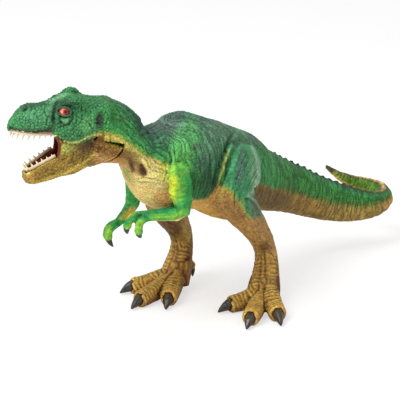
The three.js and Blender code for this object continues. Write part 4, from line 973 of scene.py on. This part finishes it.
def piece(name, points, faces, look, body, replaced=None, paint=None, normals=None):
    """One closed mesh: holes in it are filled, and the normals keep the seams of a shared skin unseen."""
    used = np.unique(faces)
    number = np.full(len(points), -1)
    number[used] = np.arange(len(used))
    mesh = bpy.data.meshes.new(name)
    mesh.from_pydata((points[used] * MM).tolist(), [], number[faces].tolist())
    if paint is not None:
        block = np.ones((len(used), 4), np.float32)
        block[:, :3] = paint[used]
        mesh.attributes.new("paint", "FLOAT_COLOR", "POINT").data.foreach_set("color", block.ravel())
    bm = bmesh.new()
    bm.from_mesh(mesh)
    rim_edges = [e for e in bm.edges if len(e.link_faces) == 1]
    bmesh.ops.holes_fill(bm, edges=rim_edges, sides=0)
    bmesh.ops.triangulate(bm, faces=[f for f in bm.faces if len(f.verts) > 4])
    bm.to_mesh(mesh)
    bm.free()
    mesh.shade_smooth()
    if normals is not None:
        mesh.normals_split_custom_set_from_vertices(normals[used].tolist())
    mesh.materials.append(look)
    obj = bpy.data.objects.new(name, mesh)
    bpy.context.scene.collection.objects.link(obj)
    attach(obj, body)
    if replaced:
        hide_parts(replaced)


skin_look = looks("skin_paint", 0.46, gloss=0.22, depth=0.25, mottle=0.22)
face_label = label[skin.quads[:, 0]]
for n, name in enumerate(SKIN_NODES):
    own = skin.quads[face_label == n]
    piece(name + "_skin", skin.points, own, skin_look, FIGURE, name, paint, N)


# ---- lower jaw
JAW_FOLDS = (
    (((34, 181), (46, 177), (58, 173)), 1.2, 0.25),
    (((40, 168), (52, 162), (60, 156)), 1.0, 0.25),
    (((66, 168), (72, 160), (74, 150)), 1.3, 0.3),
    (((80, 166), (84, 158), (84, 149)), 1.3, 0.3),
)
JAW_STROKES = (
    ((178, 196, 84), 0.8, 66, 149, 7, 5, 0),
    ((150, 160, 80), 0.6, 74, 149, 6, 5, 0),
    ((214, 206, 110), 0.8, ((58.5, 141), (59, 147), (59, 152)), 1.2),
    # these dark brown ovals and the brown line lower down are painted shade in the hollow between jaw and
    # neck
    ((88, 62, 36), 0.95, 88, 146, 9, 5.5, -20),
    ((84, 62, 36), 0.8, 90, 141, 5, 4, 0),
    ((118, 90, 44), 0.6, 80, 152, 9, 5, -30),
    ((138, 104, 38), 0.5, ((40, 172), (52, 165), (64, 158), (74, 153)), 4.0),
    ((190, 176, 74), 0.7, ((29, 170), (40, 165.5), (50, 160.5), (58, 155.5)), 1.5),
    ((206, 176, 74), 0.8, ((34, 184), (44, 181), (56, 176), (72, 170), (86, 167.5)), 2.2),
    ((196, 150, 66), 0.8, 30, 177, 5, 7, 0),
    ((210, 210, 110), 0.7, 27, 172, 3, 3, 0),
    ((214, 190, 92), 0.7, ((74, 167), (84, 163.5), (91, 158), (96, 152)), 1.2),
    ((110, 84, 40), 0.5, ((70, 163), (80, 158), (88, 153)), 1.2),
)
# balls that fill out the skin beside and behind the knuckle: fore, out and up from the hinge, radius
JAW_LUMPS = (
    (-4.9, 6.2, -2.6, 1.9), (-3.8, 5.0, -4.6, 1.9), (-10.3, 7.2, -3.2, 2.0), (-11.6, 7.0, -3.0, 2.2),
    (-12.6, 5.0, -2.9, 2.3), (-13.0, 2.6, -2.8, 2.3), (-13.0, 0.0, -2.8, 2.3), (-9.0, 7.4, -4.2, 1.8),
    (-9.4, 8.1, -2.5, 1.9), (-11.2, 8.2, -2.6, 2.0), (-7.6, 7.4, -2.2, 1.7), (-8.6, 8.2, -4.4, 1.7),
    (-5.6, 6.8, -1.6, 1.6), (-9.4, 9.1, -1.9, 1.6), (-11.4, 9.2, -2.1, 1.7), (-13.0, 8.7, -2.3, 1.8),
    (-7.4, 8.2, -1.6, 1.5), (-10.4, 9.3, -3.6, 1.5),
)
# drawn in and down, so that they clear the head when the jaw opens to its limit
LUMP_IN, LUMP_DOWN = 0.2, 0.6
lumps = []
for fore, out, up, radius in JAW_LUMPS:
    lumps += both_sides(fore, out - LUMP_IN, up - LUMP_DOWN, radius)
jaw_skin = skin_of([nodes["lower_jaw"]], voxel_of(0.34), 0.1, 0.75, lumps)
J = jaw_skin.points
jaw_n = jaw_skin.normals()
from_hinge = J - SKULL_AT
jaw_fore, jaw_left, jaw_up = from_hinge @ JAW_FORE, from_hinge @ SKULL_LEFT, from_hinge @ JAW_UP
jaw_sight = Sight(J - 2 * np.minimum(jaw_left, 0)[:, None] * SKULL_LEFT)
turned_in = jaw_n @ SKULL_LEFT * np.sign(jaw_left) < -0.3
jaw_rim = half_width(jaw_fore, jaw_left) - np.abs(jaw_left)
jaw_tip = jaw_fore.max() - jaw_fore
open_side = (jaw_fore > 9.6) & ((jaw_n @ JAW_UP > 0.3) | turned_in) & (jaw_rim > 1.3) & (jaw_tip > 2.6)
throat = (jaw_n @ JAW_FORE > 0.5) & (jaw_fore > 6) & (jaw_fore < 12) & (jaw_rim > 0.9)
inside = jaw_skin.blurred((open_side | throat).astype(float), 1)
jaw_carve = jaw_sight.folds(JAW_FOLDS) + 0.24 * (pebbles(J / 1.15, 71) - 0.6)
jaw_carve += 0.18 * wrinkles(jaw_up / 1.6, jaw_fore / 5, jaw_left / 5, 73)
jaw_skin.push(jaw_carve * (1 - inside))
jaw_relief = jaw_skin.relief(6)
jaw_paint = jaw_sight.stroked(filled(J, 154, 124, 48), JAW_STROKES)
throat_paint = jaw_sight.stroked(filled(J, 182, 136, 64), UNDER_STROKES)
jaw_paint = over(jaw_paint, throat_paint, step(88, 100, jaw_sight.u))
jaw_paint = jaw_paint * (1 + 0.2 * layered(J / 2.4, 2, 75) + 0.4 * layered(J / 0.9, 2, 77))[:, None]
jaw_paint = np.clip(washed_shaded_and_highlit(jaw_paint, jaw_relief, 0.75, 0.55, 0.13), 0, 1)
jaw_paint = over(jaw_paint, rgb(*MOUTH), inside)
piece("jaw_skin", jaw_skin.points, jaw_skin.quads, skin_look, JAW, "lower_jaw", jaw_paint)

# ---- teeth
tooth_look = looks("tooth_paint", 0.3, grain=1500.0, depth=0.03)
for name, body, upward in (("upper_teeth", FIGURE, -1), ("lower_teeth", JAW, 1)):
    bite = Skin(*remeshed([nodes[name]], voxel_of(0.17), 0.05))
    bite.smooth(3, 0.5)
    T = bite.points
    axes = (SKULL_FORE, SKULL_UP) if body == FIGURE else (JAW_FORE, JAW_UP)
    rel = T - SKULL_AT
    out, tip = rel @ SKULL_LEFT, rel @ axes[1] * upward
    cream = filled(T, 240, 226, 190) * (1 + 0.05 * layered(T / 0.8, 2, 81))[:, None]
    root = 1 - step(0.2, 1.6, tip - np.quantile(tip, 0.04))
    cream = over(cream, rgb(176, 140, 84), root * 0.7)
    piece(name + "_enamel", T, bite.quads, tooth_look, body, name, np.clip(cream, 0, 1))

# ---- claws
CLAW_DARK, CLAW_STREAK_AND_HIGHLIGHT = rgb(32, 27, 22), rgb(84, 74, 58)
claw_look = looks("claw_paint", 0.28, gloss=0.6, grain=900.0, depth=0.04)
for name in sorted(n for n in nodes if n.endswith("claw")):
    nail = skin_of([nodes[name]], voxel_of(0.28), 0.05, 0.4)
    C = nail.points
    length = unit((C[C[:, 2].argmin()] - C.mean(0))[None])[0]
    across = C - C.mean(0) - np.outer((C - C.mean(0)) @ length, length)
    streak = layered(across / 0.5 + np.outer((C @ length) / 4, length), 2, 91)
    nail.push(0.05 * streak)
    # lighter streaks along each claw, and its upward-facing surfaces painted lighter as a painted
    # highlight
    mix = np.clip(0.25 + 0.5 * streak + 0.3 * (nail.normals()[:, 2] > 0.4), 0, 0.8)
    colour_and_highlight = CLAW_DARK + (CLAW_STREAK_AND_HIGHLIGHT - CLAW_DARK) * mix[:, None]
    piece(name + "_horn", nail.points, nail.quads, claw_look, FIGURE, name, colour_and_highlight)

# ---- tongue, palate and pin
tongue = skin_of([nodes["tongue"]], voxel_of(0.25), 0.05, 0.7)
T = tongue.points
flesh = np.clip(filled(T, 168, 70, 58) * (1 + 0.2 * layered(T, 2, 93))[:, None], 0, 1)
tongue_place = T - SKULL_AT
tongue.push(-0.25 * bump(tongue_place @ SKULL_LEFT, 0.5) * (tongue.normals() @ JAW_UP > 0.3))
tongue_look = looks("tongue_paint", 0.35, grain=1000.0)
piece("tongue_flesh", tongue.points, tongue.quads, tongue_look, JAW, "tongue", flesh)
CAD_LOOKS = (
    ("palate", ((96, 30, 20), (140, 54, 36)), 0.4),
    ("jaw_pin", ((120, 118, 112), (156, 154, 148)), 0.5),
)
for name, colours, roughness in CAD_LOOKS:
    nodes[name].data.materials.clear()
    nodes[name].data.materials.append(looks(name + "_paint", roughness, colours))

# ---- eyes and lids
PUPIL_AT = (65.6, 112.3)
LID_TUBE = 10
LID_STEPS = 44
LID_DARK, LID_HIGHLIGHT = rgb(20, 46, 30), rgb(52, 104, 68)
eye_look = looks("eye_paint", 0.12, grain=600.0, depth=0.01)
for name, side in (("left_eye", 1), ("right_eye", -1)):
    ball = skin_of([nodes[name]], voxel_of(0.15), 0.05, 0.35)
    E = ball.points
    mirrored = E - 2 * np.minimum((E - SKULL_AT) @ SKULL_LEFT, 0)[:, None] * SKULL_LEFT
    eye_sight = Sight(mirrored)
    colour_and_highlight = filled(E, 226, 72, 60)
    # the pale pink oval near the eye's front corner is a painted highlight
    colour_and_highlight = over(colour_and_highlight, rgb(250, 170, 150), eye_sight.oval(61.8, 111.8, 1.3, 1.6))
    from_pupil = np.hypot(eye_sight.u - PUPIL_AT[0], eye_sight.v - PUPIL_AT[1])
    colour_and_highlight = over(colour_and_highlight, rgb(120, 20, 18), bump(from_pupil - 2.0, 0.7) * 0.6)
    colour_and_highlight = over(colour_and_highlight, rgb(16, 10, 10), eye_sight.oval(*PUPIL_AT, 1.5, 1.8))
    piece(name + "_ball", E, ball.quads, eye_look, FIGURE, name, colour_and_highlight)
    middle = E.mean(0)
    outward = unit((side * SKULL_LEFT * 0.93 + SKULL_FORE * 0.3 + SKULL_UP * 0.2)[None])[0]
    front = middle + outward * ((E - middle) @ outward).max()
    forward = unit((SKULL_FORE - outward * (SKULL_FORE @ outward))[None])[0]
    upward = unit((SKULL_UP - outward * (SKULL_UP @ outward) - forward * (SKULL_UP @ forward))[None])[0]
    turns = np.linspace(0, 2 * math.pi, LID_STEPS, endpoint=False)
    lid_points, lid_highlight_share = [], []
    for turn in turns:
        c, sn = math.cos(turn), math.sin(turn)
        reach, rise = 2.7 * c, (1.6 if sn > 0 else 1.5) * sn * (1 - 0.12 * c)
        thick = 0.46 if sn > 0 else 0.34
        sunk = 0.16 * (c * 2.75 / 2.2) ** 2 + 0.28 * (sn * 1.7 / 2.0) ** 2
        ring = front + forward * reach + upward * rise - outward * (0.35 + 1.3 * sunk)
        away = forward * c + upward * sn
        for k in range(LID_TUBE):
            around = 2 * math.pi * k / LID_TUBE
            swell = 1.25 * math.cos(around) * away + 0.9 * math.sin(around) * outward
            lid_points.append(ring + thick * swell)
            lid_highlight_share.append(0.5 + 0.5 * math.sin(around))
    lid_points = np.array(lid_points)
    lid_points += unit(lid_points - middle) * (0.07 * layered(lid_points / 0.6, 2, 97))[:, None]
    index = np.arange(LID_STEPS * LID_TUBE).reshape(LID_STEPS, LID_TUBE)
    after, beside = np.roll(index, -1, 0), np.roll(index, -1, 1)
    lid_quads = np.stack([index, beside, np.roll(after, -1, 1), after], -1).reshape(-1, 4)
    # the outward side of each lid ring is painted lighter: a painted highlight
    shine = np.array(lid_highlight_share)
    lid_paint = LID_DARK + (LID_HIGHLIGHT - LID_DARK) * (shine ** 3)[:, None]
    piece(name + "_lids", lid_points, lid_quads, skin_look, FIGURE, None, lid_paint)


# ---- stage
FLOOR_SIZE, FLOOR_DROP = 6, 0.0002
WORLD_LIGHT = 0.6
KEY_WATTS, KEY_SIZE, KEY_AT, KEY_AIM = 5.5, 0.5, (0.55, 0.1, 0.75), (0, 0, 0.04)


def stage():
    bpy.ops.mesh.primitive_plane_add(size=FLOOR_SIZE, location=(0, 0, -FLOOR_DROP))
    floor = bpy.context.active_object
    floor.name = "floor"
    material, tree, add, link = shading("floor")
    plain = tree.nodes["Principled BSDF"]
    settle(plain, {"Base Color": (0.9, 0.9, 0.9, 1), "Specular IOR Level": 0.0})
    paper = add("BsdfDiffuse")
    settle(paper, {"Color": (0.5, 0.5, 0.5, 1)})
    lit = add("Emission")
    settle(lit, {"Color": (0.6, 0.6, 0.6, 1)})
    both = add("AddShader")
    path = add("LightPath")
    choice = add("MixShader")
    link(paper.outputs[0], both.inputs[0])
    link(lit.outputs[0], both.inputs[1])
    link(path.outputs["Is Camera Ray"], choice.inputs[0])
    link(plain.outputs[0], choice.inputs[1])
    link(both.outputs[0], choice.inputs[2])
    link(choice.outputs[0], tree.nodes["Material Output"].inputs["Surface"])
    floor.data.materials.append(material)
    world = bpy.data.worlds.new("world")
    bpy.context.scene.world = world
    world.use_nodes = True
    settle(world.node_tree.nodes["Background"], {"Color": (1, 1, 1, 1), "Strength": WORLD_LIGHT})
    light = bpy.data.lights.new("key", "AREA")
    light.energy = KEY_WATTS
    light.size = KEY_SIZE
    lamp = bpy.data.objects.new("key", light)
    lamp.location = KEY_AT
    lamp.rotation_mode = "QUATERNION"
    lamp.rotation_quaternion = (Vector(KEY_AIM) - lamp.location).to_track_quat("-Z", "Y")
    bpy.context.scene.collection.objects.link(lamp)


stage()
add_camera()
bpy.context.scene.view_settings.view_transform = "Standard"
